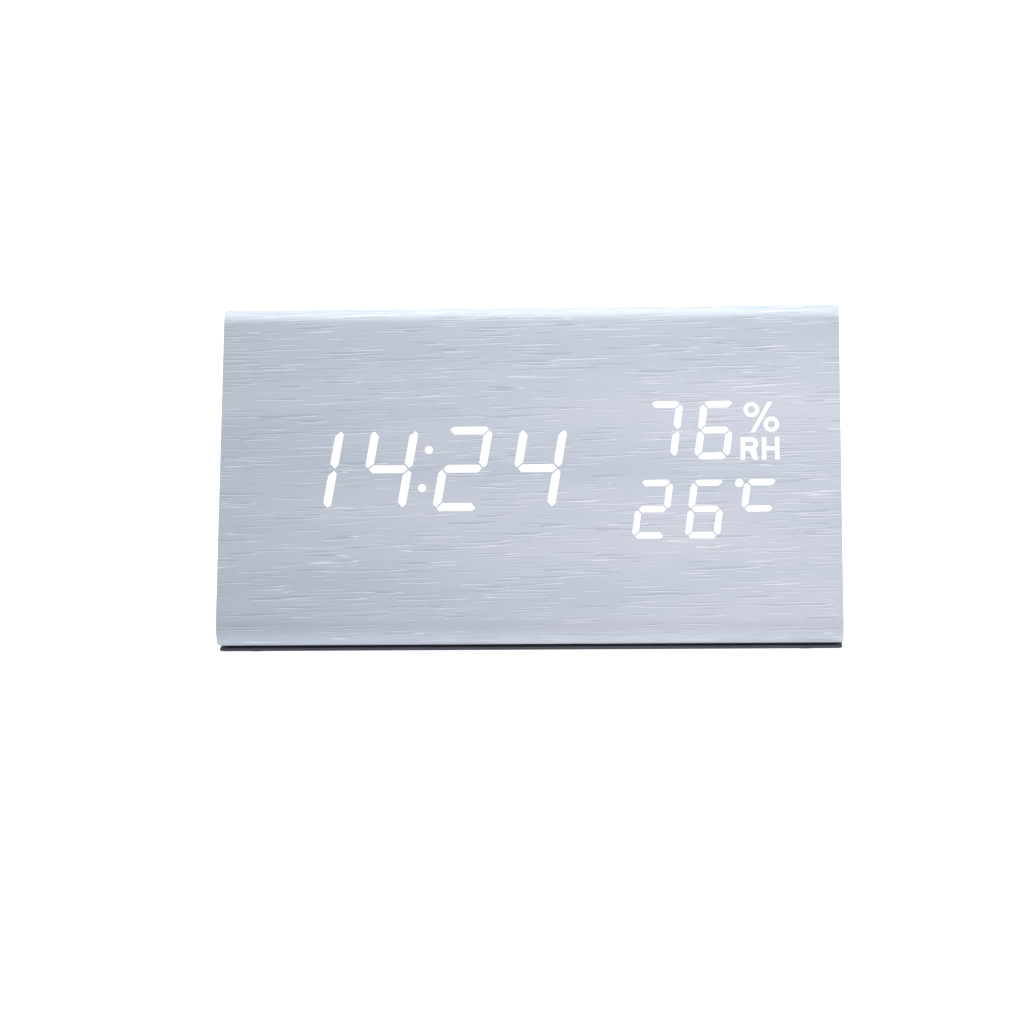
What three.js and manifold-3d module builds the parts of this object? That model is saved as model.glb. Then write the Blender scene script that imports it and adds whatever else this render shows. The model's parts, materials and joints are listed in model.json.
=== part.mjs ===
// A tent-shaped digital alarm clock: a veneered wooden prism with a light display behind its front,
// a plastic base with a battery bay under it, and a control panel let into its back.
// Lengths are millimetres and angles degrees. +Z is up, the display faces -Y, +X is its right-hand side,
// and the origin is on the floor under the middle of the case.

import * as THREE from 'three';
import { mergeVertices } from 'three/addons/utils/BufferGeometryUtils.js';
import Module from 'manifold-3d';

const wasm = await Module();
wasm.setup();

// Clearances
const seatGap = 0.15;
const fitGap = 0.3;
const runGap = 0.2;
const stencilGap = 0.06;
const drillGap = 0.15;

// Case
const caseWidth = 150;
const caseDepth = 70;
const caseHeight = 80;
const cornerRadius = 5;
const veneerThickness = 0.4;
const glueGap = 0.1;
const coreThickness = 4.5;
const innerCornerRadius = 0.8;
const endPanelThickness = 4;
const endPanelRecess = 0.6;

// Base plate and feet
const footStand = 0.5;
const footDiameter = 8;
const footRecess = 0.6;
const footEndDistance = 9;
const footRowDistance = 48;
const baseThickness = 1.3;
const baseEdgeHeight = 0.8;
const baseEdgeReach = 0.4;
const baseEndInset = 0.15;
const baseCornerRadius = 1.2;
const shadowGapDepth = 1.5;
const baseScrewEndDistance = 9;
const baseScrewRowDistance = 20;

// Battery cells, bay and door
const cellDiameter = 10.5;
const cellLength = 44.5;
const cellEdgeRadius = 0.6;
const cellNubDiameter = 3.8;
const cellNubHeight = 1;
const cellGap = 0.5;
const bayWall = 1.4;
const bayRoof = 1.2;
const doorThickness = 1.5;
const hingePinDiameter = 0.9;
const hingePinReach = 1;
const latchWidth = 12;
const latchThickness = 1;
const latchHeight = 1.4;
const fingerNotchWidth = 16;
const fingerNotchReach = 5;
const fingerNotchDepth = 0.8;

// Battery contacts and leads
const contactThickness = 0.4;
const contactWidth = 9;
const contactHeight = 9;
const contactTabWidth = 2;
const contactTabReach = 3;
const springLength = 5;
const springWire = 0.7;
const springTurns = 3.5;
const springBaseRadius = 3.3;
const springTipRadius = 1.9;
const springSink = 0.12;
const leadDiameter = 1.3;
const leadBend = 7;
const leadSteps = 12;
const leadLandingEndDistance = 7.5;
const leadLandingRise = -9.5;
const leadLandingSpacing = 3;

// Display, laid out across the case on a grid of columns
const displayColumns = 150;
const column = caseWidth / displayColumns;
const displayRise = -0.55;
const windowMargin = 1;
const frameRim = 2;
const displayBoardMarginX = 2.5;
const displayBoardMarginY = 6;
const boardThickness = 1.6;
const displayScrewInset = 6;
const guideReach = 2;
const guidePlate = 1.2;
const guideSink = 0.2;
const lampWidth = 1.6;
const lampHeight = 0.7;

// Time digits
const timeSlant = 8.8;
const timeDigitWidth = 9.96 * column;
const timeDigitRise = 9.85;
const timeStroke = 1.95;
const timeDigitPitch = 18.06 * column;
const timePairOffset = 9 * column;
const timeCentreX = -25.08 * column;
const timeRowRise = 0.6;
const colonDotDiameter = 1.95;
const colonDotSpacing = 9.6;

// Humidity and temperature digits and their units
const smallSlant = 7;
const smallDigitWidth = 7.2 * column;
const smallDigitRise = 6.72;
const smallDigitPitch = 12.7 * column;
const smallFirstX = 30.91 * column;
const humidityStroke = 1.66;
const humidityRowRise = 9.83;
const temperatureStroke = 1.53;
const temperatureRowRise = -9.89;
const tipGap = 0.3;
const outerShare = 0.37;
const unitOffsetX = 11.15 * column;
const percentRise = 3.2;
const percentRingOffsetX = 2.4;
const percentRingOffsetY = 1.88;
const percentRingOuter = 1.87;
const percentRingInner = 0.93;
const percentBarHeight = 7.67;
const percentBarWidth = 1.06;
const percentBarLean = 28.7;
const letterOffsetX = -0.4;
const letterDrop = 4.7;
const letterHeight = 5.6;
const letterWidth = 4.2;
const letterGap = 0.9;
const letterStroke = 1.05;
const letterLegHeight = 2.3;
const letterLegFoot = 1.15;
const letterBowlStart = -50;
const degreeOffsetX = -4.57 * column;
const degreeRise = 6.38;
const degreeDotDiameter = 2;

// Rear panel
const panelLedgeX = 6;
const panelLedgeY = 1.5;
const panelThickness = 2;
const panelCornerRadius = 3;
const panelRecess = 0.6;
const panelRise = -12.6;
const boardPassGap = 1;
const postDiameter = 5;
const postEdgeDistance = 4;
const ventCount = 5;
const ventWidth = 1.4;
const ventLength = 10;
const ventPitch = 2.6;
const ventCornerRadius = 0.5;
const soundHoleDiameter = 1.6;

// Buttons and switches, counted from the middle of the rear panel
const buttonRise = 5;
const buttonPitch = 14;
const buttonDiameter = 6;
const buttonProud = 1.5;
const buttonEdge = 0.4;
const buttonFlangeReach = 1;
const buttonFlangeThickness = 1;
const buttonStemDiameter = 3;
const buttonStemLength = 0.7;
const buttonTravel = 0.5;
const switchWidth = 6;
const switchHeight = 3.4;
const plungerDiameter = 3.3;
const plungerProud = 0.8;
const plungerSink = 1;

// Main board and what it carries, counted from the middle of the rear panel
const mainBoardWidth = 82;
const mainBoardHeight = 25;
const socketEndDistance = 14;
const socketRise = -4.5;
const socketBore = 5.6;
const socketCollarWall = 1.1;
const socketShoulder = 1.1;
const socketCollarShy = 0.3;
const socketFloor = 0.85;
const socketPinDiameter = 2;
const socketPinShy = 0.6;
const sensorEndDistance = 15;
const sensorRise = -4.5;
const sensorWidth = 15.5;
const sensorHeight = 12;
const sensorDepth = 4.6;
const sensorSlotLength = 11;
const sensorSlotWidth = 1;
const sensorSlotDepth = 1;
const sensorSlotPitch = 3;
const microphoneEndDistance = 14;
const microphoneRise = 6.5;
const microphoneDiameter = 6;
const microphoneDepth = 2.7;
const buzzerEndDistance = 17;
const buzzerDiameter = 12;
const buzzerDepth = 8;
const buzzerHole = 2;
const coinHolderEndDistance = 19;
const coinHolderWall = 0.8;
const coinHolderFloor = 0.8;
const coinHolderLip = 0.25;
const coinDiameter = 20;
const coinThickness = 3.2;
const chipX = 3;
const chipRise = -6;
const chipWidth = 17.9;
const chipHeight = 7.5;
const chipDepth = 2.4;
const crystalX = 12.5;
const crystalRise = 7.5;
const crystalDiameter = 3;
const crystalDepth = 8;

// Ribbon cable and its connectors
const connectorWidth = 16;
const connectorHeight = 5;
const connectorDepth = 4;
const mainConnectorRise = 8;
const displayConnectorRise = -2;
const ribbonWidth = 12.7;
const ribbonThickness = 0.9;
const ribbonEntry = 2;
const ribbonSeat = 1.6;
const ribbonBend = 10;
const ribbonSteps = 16;

// Screws: head diameter, head height, shaft diameter, full length
const baseScrew = { head: 4.4, headHeight: 1, shaft: 2.3, length: 5.4 };
const panelScrew = { head: 3.6, headHeight: 0.9, shaft: 1.9, length: 4 };
const displayScrew = { head: 3.6, headHeight: 1.3, shaft: 1.9, length: 6 };
const boardScrew = { head: 3.4, headHeight: 1.2, shaft: 1.6, length: 6 };

// Facets of round shapes
const arcSegments = 5;
const cornerSegments = 4;
const ventCornerSegments = 1;
const roundSides = 20;
const smallSides = 12;
const wireSides = 8;
const springStepsPerTurn = 8;
const springSides = 5;
const springSamplesPerTurn = 40;
const weldDistance = 1e-5;

// Which segments each character lights: a top, b and c right, d bottom, e and f left, g middle
const litSegments = { 1: 'bc', 2: 'abdeg', 4: 'bcfg', 6: 'acdefg', 7: 'abc', C: 'afg' };
const acrossRow = { a: 1, g: 0, d: -1 };
const uprightPlace = { b: [1, 1], c: [1, -1], e: [-1, -1], f: [-1, 1] };

// Case section: three equal round corners joined by a flat bottom and two equal flanks
const wallThickness = veneerThickness + glueGap + coreThickness;
const shellBottom = footStand + baseThickness + seatGap;
const lowCornerY = caseDepth / 2 - cornerRadius;
const lowCornerZ = shellBottom + cornerRadius;
const topCornerZ = caseHeight - cornerRadius;
const tilt = Math.atan2(lowCornerY, topCornerZ - lowCornerZ);
const faceMiddleY = -(lowCornerY / 2 + cornerRadius * Math.cos(tilt));
const faceMiddleZ = (lowCornerZ + topCornerZ) / 2 + cornerRadius * Math.sin(tilt);

// Finishes: colour, roughness, metalness
const finishes = {
  woodCore: [0xb7bcc4, 0.75, 0],
  veneer: [0xc3c9d3, 0.6, 0],
  darkPlastic: [0x3f4350, 0.55, 0],
  blackPlastic: [0x17181a, 0.5, 0],
  rubber: [0x202124, 0.9, 0],
  lightGuide: [0xffffff, 0.4, 0],
  greenBoard: [0x1f5a3a, 0.5, 0],
  steel: [0xb9bcc0, 0.3, 1],
  brightMetal: [0xd6d4cc, 0.3, 1],
  sensorShell: [0x5f87b5, 0.6, 0],
  connector: [0xe7e2d3, 0.6, 0],
  ribbon: [0x9aa0a8, 0.6, 0],
  cellWrap: [0x4f565f, 0.4, 0.2],
  redWire: [0xb3261e, 0.5, 0],
  blackWire: [0x161616, 0.5, 0],
};

// Closed solids and their joins and cuts

function solidOf(geometry) {
  const bare = geometry.clone();
  bare.deleteAttribute('normal');
  bare.deleteAttribute('uv');
  const merged = mergeVertices(bare, weldDistance);
  const corners = merged.index.array;
  const kept = [];
  for (let i = 0; i < corners.length; i += 3) {
    const [a, b, c] = corners.slice(i, i + 3);
    if (a !== b && b !== c && c !== a) {
      kept.push(a, b, c);
    }
  }
  return new wasm.Manifold(new wasm.Mesh({
    numProp: 3,
    vertProperties: Float32Array.from(merged.attributes.position.array),
    triVerts: Uint32Array.from(kept),
  }));
}

function geometryOf(solid) {
  const mesh = solid.getMesh();
  const geometry = new THREE.BufferGeometry();
  geometry.setAttribute('position', new THREE.BufferAttribute(Float32Array.from(mesh.vertProperties), 3));
  geometry.setIndex(new THREE.BufferAttribute(Uint32Array.from(mesh.triVerts), 1));
  return geometry;
}

function joined(...shapes) {
  return geometryOf(shapes.map(solidOf).reduce((whole, next) => whole.add(next)));
}

function cut(shape, ...tools) {
  return geometryOf(tools.map(solidOf).reduce((whole, tool) => whole.subtract(tool), solidOf(shape)));
}

function piece(name, geometry, finish) {
  const flat = geometry.index ? geometry.toNonIndexed() : geometry;
  flat.computeVertexNormals();
  const [color, roughness, metalness] = finishes[finish];
  const mesh = new THREE.Mesh(flat, new THREE.MeshStandardMaterial({ color, roughness, metalness }));
  mesh.name = name;
  return mesh;
}

// Plain shapes

function block(width, depth, low, high, x = 0, y = 0) {
  return new THREE.BoxGeometry(width, depth, high - low).translate(x, y, (low + high) / 2);
}

function rod(diameter, low, high, x = 0, y = 0, sides = roundSides) {
  const cylinder = new THREE.CylinderGeometry(diameter / 2, diameter / 2, high - low, sides);
  return cylinder.rotateX(Math.PI / 2).translate(x, y, (low + high) / 2);
}

function plate(outline, low, high, curveSegments = arcSegments) {
  const options = { depth: high - low, bevelEnabled: false, curveSegments };
  return new THREE.ExtrudeGeometry(outline, options).translate(0, 0, low);
}

// A round solid about +Z from radius and height pairs, listed from the bottom up
function turned(profile, sides = roundSides) {
  const points = profile.map(([radius, height]) => new THREE.Vector2(radius, height));
  return new THREE.LatheGeometry(points, sides).rotateX(Math.PI / 2);
}

// An outline in the Y-Z plane carried along +X, centred on the middle of the case
function alongX(outline, length) {
  const toSection = new THREE.Matrix4().makeBasis(
    new THREE.Vector3(0, 1, 0),
    new THREE.Vector3(0, 0, 1),
    new THREE.Vector3(1, 0, 0),
  );
  return plate(outline, -length / 2, length / 2).applyMatrix4(toSection);
}

function roundedRectangle(width, height, radius, x = 0, y = 0) {
  const halfX = width / 2 - radius;
  const halfY = height / 2 - radius;
  const outline = new THREE.Shape();
  outline.absarc(x + halfX, y - halfY, radius, -Math.PI / 2, 0);
  outline.absarc(x + halfX, y + halfY, radius, 0, Math.PI / 2);
  outline.absarc(x - halfX, y + halfY, radius, Math.PI / 2, Math.PI);
  outline.absarc(x - halfX, y - halfY, radius, Math.PI, Math.PI * 1.5);
  outline.closePath();
  return outline;
}

function polygon(points) {
  return new THREE.Shape(points.map(([x, y]) => new THREE.Vector2(x, y)));
}

// The case section drawn in by an inset, with its own corner radius
function caseOutline(inset, radius) {
  const slack = cornerRadius - inset - radius;
  const lowZ = shellBottom + inset + radius;
  const lowY = lowCornerY + (slack - Math.sin(tilt) * (lowZ - lowCornerZ)) / Math.cos(tilt);
  const topZ = topCornerZ + slack / Math.sin(tilt);
  const outline = new THREE.Shape();
  outline.absarc(lowY, lowZ, radius, -Math.PI / 2, tilt);
  outline.absarc(0, topZ, radius, tilt, Math.PI - tilt);
  outline.absarc(-lowY, lowZ, radius, Math.PI - tilt, Math.PI * 1.5);
  outline.closePath();
  return outline;
}

// Screws, standing on their tips: the head's top is at height 0 and the shaft runs down

function countersunkScrew(screw) {
  const neck = -screw.headHeight;
  return turned([
    [0, -screw.length],
    [screw.shaft / 2, -screw.length],
    [screw.shaft / 2, neck],
    [screw.head / 2, 0],
    [0, 0],
  ], smallSides);
}

function panHeadScrew(screw) {
  const neck = -screw.headHeight;
  return turned([
    [0, -screw.length],
    [screw.shaft / 2, -screw.length],
    [screw.shaft / 2, neck],
    [screw.head / 2, neck],
    [screw.head / 2, neck / 2],
    [screw.head / 3, 0],
    [0, 0],
  ], smallSides);
}

// The room that a countersunk screw takes in the pieces that it passes through
function countersunkHole(screw) {
  return countersunkScrew({
    head: screw.head + 2 * drillGap,
    headHeight: screw.headHeight,
    shaft: screw.shaft + 2 * drillGap,
    length: screw.length + drillGap,
  });
}

// Groups

const clock = new THREE.Group();

// A flank's own frame: +X to the right of one who looks at it, +Y up its slope, +Z out of it
function flankFrame(turn) {
  const turnedAbout = new THREE.Group();
  const flank = new THREE.Group();
  turnedAbout.rotation.z = turn;
  flank.position.set(0, faceMiddleY, faceMiddleZ);
  flank.rotation.x = Math.PI / 2 - tilt;
  turnedAbout.add(flank);
  clock.add(turnedAbout);
  turnedAbout.updateMatrixWorld(true);
  return flank;
}

const front = flankFrame(0);
const back = flankFrame(Math.PI);

function inCase(geometry, flank) {
  return geometry.clone().applyMatrix4(flank.matrixWorld);
}

// Corners of a rectangle with names for them
function fourCorners(spacingX, spacingY) {
  return [['front_left', -1, -1], ['front_right', 1, -1], ['rear_left', -1, 1], ['rear_right', 1, 1]]
    .map(([name, sideX, sideY]) => ({ name, x: sideX * spacingX / 2, y: sideY * spacingY / 2 }));
}

// Display characters

function radians(degrees) {
  return degrees * Math.PI / 180;
}

// One segment of a digit, grown all round by a margin; its tips lie nearer to the digit's outside
function segmentOutline(digit, segment, margin) {
  const across = segment in acrossRow;
  const run = (across ? digit.width / 2 : digit.rise / 2) - tipGap + margin;
  const [side, row] = across ? [0, 2 * acrossRow[segment]] : uprightPlace[segment];
  const middle = [side * digit.width / 2, row * digit.rise / 2];
  const lean = (across ? acrossRow[segment] : -side) * (0.5 - outerShare);
  const low = digit.stroke * (0.5 + lean) + margin;
  const high = digit.stroke * (0.5 - lean) + margin;
  const lowBar = [[-run, 0], [low - run, -low], [run - low, -low]];
  const highBar = [[run, 0], [run - high, high], [high - run, high]];
  const bar = [...lowBar, ...highBar];
  const placed = bar.map(([along, off]) => (across ? [along, off] : [-off, along]));
  return polygon(placed.map(([x, y]) => {
    const height = y + middle[1];
    return [digit.x + x + middle[0] + height * Math.tan(radians(digit.slant)), digit.y + height];
  }));
}

function characterOutlines(digit, margin) {
  return [...litSegments[digit.character]].map((segment) => segmentOutline(digit, segment, margin));
}

function dotOutline(x, y, diameter, margin) {
  const outline = new THREE.Shape();
  outline.absarc(x, y, diameter / 2 + margin, 0, Math.PI * 2);
  return outline;
}

function timeDigit(character, place) {
  const side = Math.sign(place);
  const x = timeCentreX + side * (timePairOffset + (Math.abs(place) - 1) * timeDigitPitch);
  const y = displayRise + timeRowRise;
  const [width, rise, stroke, slant] = [timeDigitWidth, timeDigitRise, timeStroke, timeSlant];
  return { character, x, y, width, rise, stroke, slant };
}

function smallDigit(character, column, rowRise, stroke) {
  const x = smallFirstX + column * smallDigitPitch + rowRise * Math.tan(radians(smallSlant));
  const y = displayRise + rowRise;
  const [width, rise, slant] = [smallDigitWidth, smallDigitRise, smallSlant];
  return { character, x, y, width, rise, stroke, slant };
}

const timeDigits = [timeDigit('1', -2), timeDigit('4', -1), timeDigit('2', 1), timeDigit('4', 2)];
const humidityDigits = ['7', '6'].map((character, column) => (
  smallDigit(character, column, humidityRowRise, humidityStroke)
));
const temperatureDigits = ['2', '6', 'C'].map((character, column) => (
  smallDigit(character, column, temperatureRowRise, temperatureStroke)
));

function colonDots() {
  return [-1, 1].map((side) => {
    const off = side * colonDotSpacing / 2;
    return [timeCentreX + off * Math.tan(radians(timeSlant)), displayRise + timeRowRise + off];
  });
}

const unitX = humidityDigits.at(-1).x + unitOffsetX;
const degreeDot = [
  temperatureDigits.at(-1).x + degreeOffsetX,
  displayRise + temperatureRowRise + degreeRise,
];

// The leaning bar of the percent sign, with level ends
function percentBar(margin) {
  const lean = radians(percentBarLean);
  return polygon([[-1, -1], [1, -1], [1, 1], [-1, 1]].map(([sideX, sideY]) => {
    const x = sideX * (percentBarWidth / 2 + margin / Math.cos(lean));
    const y = sideY * (percentBarHeight / 2 + margin);
    return [unitX + x + y * Math.tan(lean), displayRise + humidityRowRise + percentRise + y];
  }));
}

function percentRing(side, margin) {
  const x = unitX - side * percentRingOffsetX;
  const y = displayRise + humidityRowRise + percentRise + side * percentRingOffsetY;
  return { x, y, outline: dotOutline(x, y, 2 * percentRingOuter, margin) };
}

// Lower left corner of the letter on the left (-1) or right (1) of the middle of the unit
function letterCorner(side) {
  const middle = unitX + letterOffsetX + side * (letterGap + letterWidth) / 2;
  return [middle - letterWidth / 2, displayRise + humidityRowRise - letterDrop - letterHeight / 2];
}

function letterR(margin) {
  const [x, y] = letterCorner(-1);
  const stroke = letterStroke + 2 * margin;
  const bowl = (letterHeight - letterLegHeight) / 2 + margin;
  const [left, right] = [x - margin, x + letterWidth + margin];
  const [low, high] = [y - margin, y + letterHeight + margin];
  const outline = new THREE.Shape();
  outline.moveTo(left, low);
  outline.lineTo(left + stroke, low);
  outline.lineTo(left + stroke, high - 2 * bowl);
  outline.lineTo(right - bowl - stroke / 2, high - 2 * bowl);
  outline.lineTo(right - letterLegFoot - 2 * margin, low);
  outline.lineTo(right, low);
  outline.absarc(right - bowl, high - bowl, bowl, radians(letterBowlStart), Math.PI / 2);
  outline.lineTo(left, high);
  outline.closePath();
  return outline;
}

// The eye of the letter R, which stays dark
function letterEye() {
  const [x, y] = letterCorner(-1);
  const bowl = (letterHeight - letterLegHeight) / 2;
  const eye = bowl - letterStroke;
  const turnX = x + letterWidth - bowl;
  const turnY = y + letterHeight - bowl;
  const outline = new THREE.Shape();
  outline.moveTo(x + letterStroke, turnY + eye);
  outline.lineTo(x + letterStroke, turnY - eye);
  outline.absarc(turnX, turnY, eye, -Math.PI / 2, Math.PI / 2);
  outline.closePath();
  return outline;
}

function letterH(margin) {
  const [x, y] = letterCorner(1);
  const stroke = letterStroke + 2 * margin;
  const [left, right] = [x - margin, x + letterWidth + margin];
  const [low, high] = [y - margin, y + letterHeight + margin];
  const [barLow, barHigh] = [(low + high - stroke) / 2, (low + high + stroke) / 2];
  return polygon([
    [left, low], [left + stroke, low], [left + stroke, barLow], [right - stroke, barLow],
    [right - stroke, low], [right, low], [right, high], [right - stroke, high],
    [right - stroke, barHigh], [left + stroke, barHigh], [left + stroke, high], [left, high],
  ]);
}

function timeOutlines(margin) {
  const dots = colonDots().map(([x, y]) => dotOutline(x, y, colonDotDiameter, margin));
  return [...timeDigits.flatMap((digit) => characterOutlines(digit, margin)), ...dots];
}

function humidityOutlines(margin) {
  const digits = humidityDigits.flatMap((digit) => characterOutlines(digit, margin));
  const rings = [1, -1].map((side) => percentRing(side, margin).outline);
  return [...digits, ...rings, percentBar(margin), letterR(margin), letterH(margin)];
}

function temperatureOutlines(margin) {
  const digits = temperatureDigits.flatMap((digit) => characterOutlines(digit, margin));
  return [...digits, dotOutline(...degreeDot, degreeDotDiameter, margin)];
}

// Front stack, counted out of the front face
const frameFront = -(veneerThickness + seatGap);
const displayBoardFront = -(wallThickness + seatGap);
const displayBoardBack = displayBoardFront - boardThickness;
const frameBack = displayBoardFront + seatGap;
const guidePlateBack = -(guideReach + guidePlate);

// The window behind a row of digits, which may run on to the right past its last digit
function rowWindow(digits, rightReach = -Infinity) {
  const { y, width, rise, stroke, slant } = digits[0];
  const reachX = width / 2 + rise * Math.tan(radians(slant)) + stroke / 2 + windowMargin;
  const reachY = rise + stroke / 2 + windowMargin;
  const left = digits[0].x - reachX;
  const right = Math.max(digits.at(-1).x + reachX, rightReach + windowMargin);
  return { left, right, low: y - reachY, high: y + reachY, x: (left + right) / 2, y };
}

const displayWindows = {
  time: rowWindow(timeDigits),
  humidity: rowWindow(humidityDigits, unitX + letterGap / 2 + letterWidth),
  temperature: rowWindow(temperatureDigits),
};

const windowList = Object.values(displayWindows);
const frameReachX = Math.max(...windowList.map(({ left, right }) => Math.max(-left, right)));
const frameReachY = Math.max(...windowList.map(({ y, high }) => Math.abs(y - displayRise) + high - y));
const frameWidth = 2 * (frameReachX + frameRim);
const frameHeight = 2 * (frameReachY + frameRim);
const displayBoardWidth = frameWidth + 2 * displayBoardMarginX;
const displayBoardHeight = frameHeight + 2 * displayBoardMarginY;

// Display screws stand in the middle of the board's margin above and below the window
function displayScrewPlaces() {
  const spacingX = frameWidth - 2 * displayScrewInset;
  const spacingY = frameHeight + displayBoardMarginY;
  return [['lower', -1], ['upper', 1]].flatMap(([level, sideY]) => (
    [['left', -1], ['right', 1]].map(([hand, sideX]) => ({
      name: `display_screw_${level}_${hand}`,
      x: sideX * spacingX / 2,
      y: displayRise + sideY * spacingY / 2,
    }))
  ));
}

function windowBlock(window, margin, low, high) {
  const width = window.right - window.left + 2 * margin;
  const height = window.high - window.low + 2 * margin;
  return block(width, height, low, high, window.x, window.y);
}

function lightGuide(name, window, outlines, ...eyes) {
  const sheet = windowBlock(window, -fitGap, guidePlateBack, -guideReach);
  const bars = outlines.map((outline) => plate(outline, -guideReach - guideSink, 0));
  return piece(name, cut(joined(sheet, ...bars), ...eyes), 'lightGuide');
}

function percentEyes() {
  return [1, -1].map((side) => {
    const ring = percentRing(side, 0);
    return rod(2 * percentRingInner, -guideReach, seatGap, ring.x, ring.y, smallSides);
  });
}

function displayFrame() {
  const body = block(frameWidth, frameHeight, frameBack, frameFront, 0, displayRise);
  const windows = windowList.map((window) => windowBlock(window, 0, frameBack - fitGap, frameFront + fitGap));
  return piece('display_frame', cut(body, ...windows), 'blackPlastic');
}

// Lamps stand under the middle of every segment, lit or not, and under each dot and unit mark
function lampPlaces() {
  const digits = [...timeDigits, ...humidityDigits, ...temperatureDigits];
  const underSegments = digits.flatMap((digit) => [
    ...Object.values(acrossRow).map((row) => [0, row * digit.rise]),
    ...Object.values(uprightPlace).map(([side, row]) => [side * digit.width / 2, row * digit.rise / 2]),
  ].map(([x, y]) => [digit.x + x + y * Math.tan(radians(digit.slant)), digit.y + y]));
  const unitY = displayRise + humidityRowRise;
  const underUnits = [[unitX, unitY + percentRise], [unitX, unitY - letterDrop]];
  return [...underSegments, ...colonDots(), degreeDot, ...underUnits];
}

function displayBoard() {
  const [low, high] = [displayBoardBack, displayBoardFront];
  const sheet = block(displayBoardWidth, displayBoardHeight, low, high, 0, displayRise);
  const lamps = lampPlaces().map(([x, y]) => (
    block(lampWidth, lampWidth / 2, high - guideSink, high + lampHeight, x, y)
  ));
  const holes = displayScrewPlaces().map(({ x, y }) => (
    rod(displayScrew.shaft + 2 * drillGap, low - fitGap, high + fitGap, x, y, smallSides)
  ));
  return piece('display_board', cut(joined(sheet, ...lamps), ...holes), 'greenBoard');
}

// Display screws point out towards the front face, with their heads on the back of the board
const displayScrewHeadTop = displayBoardBack - seatGap - displayScrew.headHeight;

function displayScrews() {
  return displayScrewPlaces().map(({ name, x, y }) => {
    const screw = piece(name, panHeadScrew(displayScrew), 'steel');
    screw.rotation.x = Math.PI;
    screw.position.set(x, y, displayScrewHeadTop);
    return screw;
  });
}

function displayConnector() {
  const middle = displayRise + displayConnectorRise;
  const seat = displayBoardBack - seatGap;
  const slot = connectorSlot(middle + connectorHeight / 2, seat - connectorDepth / 2);
  const body = block(connectorWidth, connectorHeight, seat - connectorDepth, seat, 0, middle);
  return piece('display_connector', cut(body, slot), 'connector');
}

// The slot that takes a ribbon's end, open at a connector's upper side
function connectorSlot(top, depth) {
  const width = ribbonWidth + 2 * runGap;
  const half = ribbonThickness / 2 + runGap;
  const height = ribbonEntry + fitGap;
  return block(width, height, depth - half, depth + half, 0, top - ribbonEntry + height / 2);
}

// Rear stack, counted out of the back face
const panelFront = -panelRecess;
const panelBack = panelFront - panelThickness;
const flangeTop = panelBack - runGap;
const flangeBottom = flangeTop - buttonFlangeThickness;
const plungerTop = flangeBottom - buttonStemLength - seatGap;
const switchTop = plungerTop - plungerProud;
const outerSeat = switchTop - switchHeight;
const mainBoardOuter = outerSeat - seatGap;
const mainBoardInner = mainBoardOuter - boardThickness;
const innerSeat = mainBoardInner - seatGap;

const rearWindowWidth = mainBoardWidth + 2 * boardPassGap;
const rearWindowHeight = mainBoardHeight + 2 * boardPassGap;
const panelWidth = rearWindowWidth + 2 * panelLedgeX;
const panelHeight = rearWindowHeight + 2 * panelLedgeY;
const panelScrewSpacing = rearWindowWidth + panelLedgeX;
const postSpacing = mainBoardWidth - 2 * postEdgeDistance;
const socketX = socketEndDistance - mainBoardWidth / 2;
const sensorX = mainBoardWidth / 2 - sensorEndDistance;
const microphoneX = microphoneEndDistance - mainBoardWidth / 2;
const buzzerX = mainBoardWidth / 2 - buzzerEndDistance;
const coinHolderX = coinHolderEndDistance - mainBoardWidth / 2;
const leadLandingX = mainBoardWidth / 2 - leadLandingEndDistance;
const buttonFlangeDiameter = buttonDiameter + 2 * buttonFlangeReach;
const socketCollarDiameter = socketBore + 2 * socketCollarWall;
const socketWidth = socketCollarDiameter + 2 * socketShoulder;
const coinWellDiameter = coinDiameter + 2 * runGap;
const coinHolderDiameter = coinWellDiameter + 2 * coinHolderWall;
const coinHolderDepth = coinHolderFloor + seatGap + coinThickness + coinHolderLip;

const buttons = [['set', -1], ['up', 0], ['down', 1]].map(([name, place]) => ({
  name,
  x: place * buttonPitch,
  y: panelRise + buttonRise,
}));

function ventSlots() {
  return Array.from({ length: ventCount }, (_, index) => {
    const y = panelRise + sensorRise + (index - (ventCount - 1) / 2) * ventPitch;
    const slot = roundedRectangle(ventLength, ventWidth, ventCornerRadius, sensorX, y);
    return plate(slot, panelBack - fitGap, panelFront + fitGap, ventCornerSegments);
  });
}

function rearPanelScrewPlaces() {
  return [['left', -1], ['right', 1]].map(([name, side]) => ({
    name: `rear_panel_screw_${name}`,
    x: side * panelScrewSpacing / 2,
    y: panelRise,
  }));
}

function rearPanelScrewHoles() {
  return rearPanelScrewPlaces().map(({ x, y }) => (
    countersunkHole(panelScrew).translate(x, y, panelFront)
  ));
}

function rearPanel() {
  const outline = roundedRectangle(panelWidth, panelHeight, panelCornerRadius, 0, panelRise);
  const sheet = plate(outline, panelBack, panelFront, cornerSegments);
  const through = [panelBack - fitGap, panelFront + fitGap];
  const posts = [-1, 1].map((side) => (
    rod(postDiameter, outerSeat, panelBack + seatGap, side * postSpacing / 2, panelRise, smallSides)
  ));
  const pilotDiameter = boardScrew.shaft + 2 * drillGap;
  const pilots = [-1, 1].map((side) => (
    rod(pilotDiameter, outerSeat - fitGap, panelBack - fitGap, side * postSpacing / 2, panelRise, smallSides)
  ));
  const holes = [
    ...buttons.map(({ x, y }) => rod(buttonDiameter + 2 * runGap, ...through, x, y)),
    rod(socketCollarDiameter + 2 * runGap, ...through, socketX, panelRise + socketRise),
    rod(soundHoleDiameter, ...through, microphoneX, panelRise + microphoneRise, smallSides),
  ];
  const tools = [...pilots, ...holes, ...ventSlots(), ...rearPanelScrewHoles()];
  return piece('rear_panel', cut(joined(sheet, ...posts), ...tools), 'blackPlastic');
}

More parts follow.
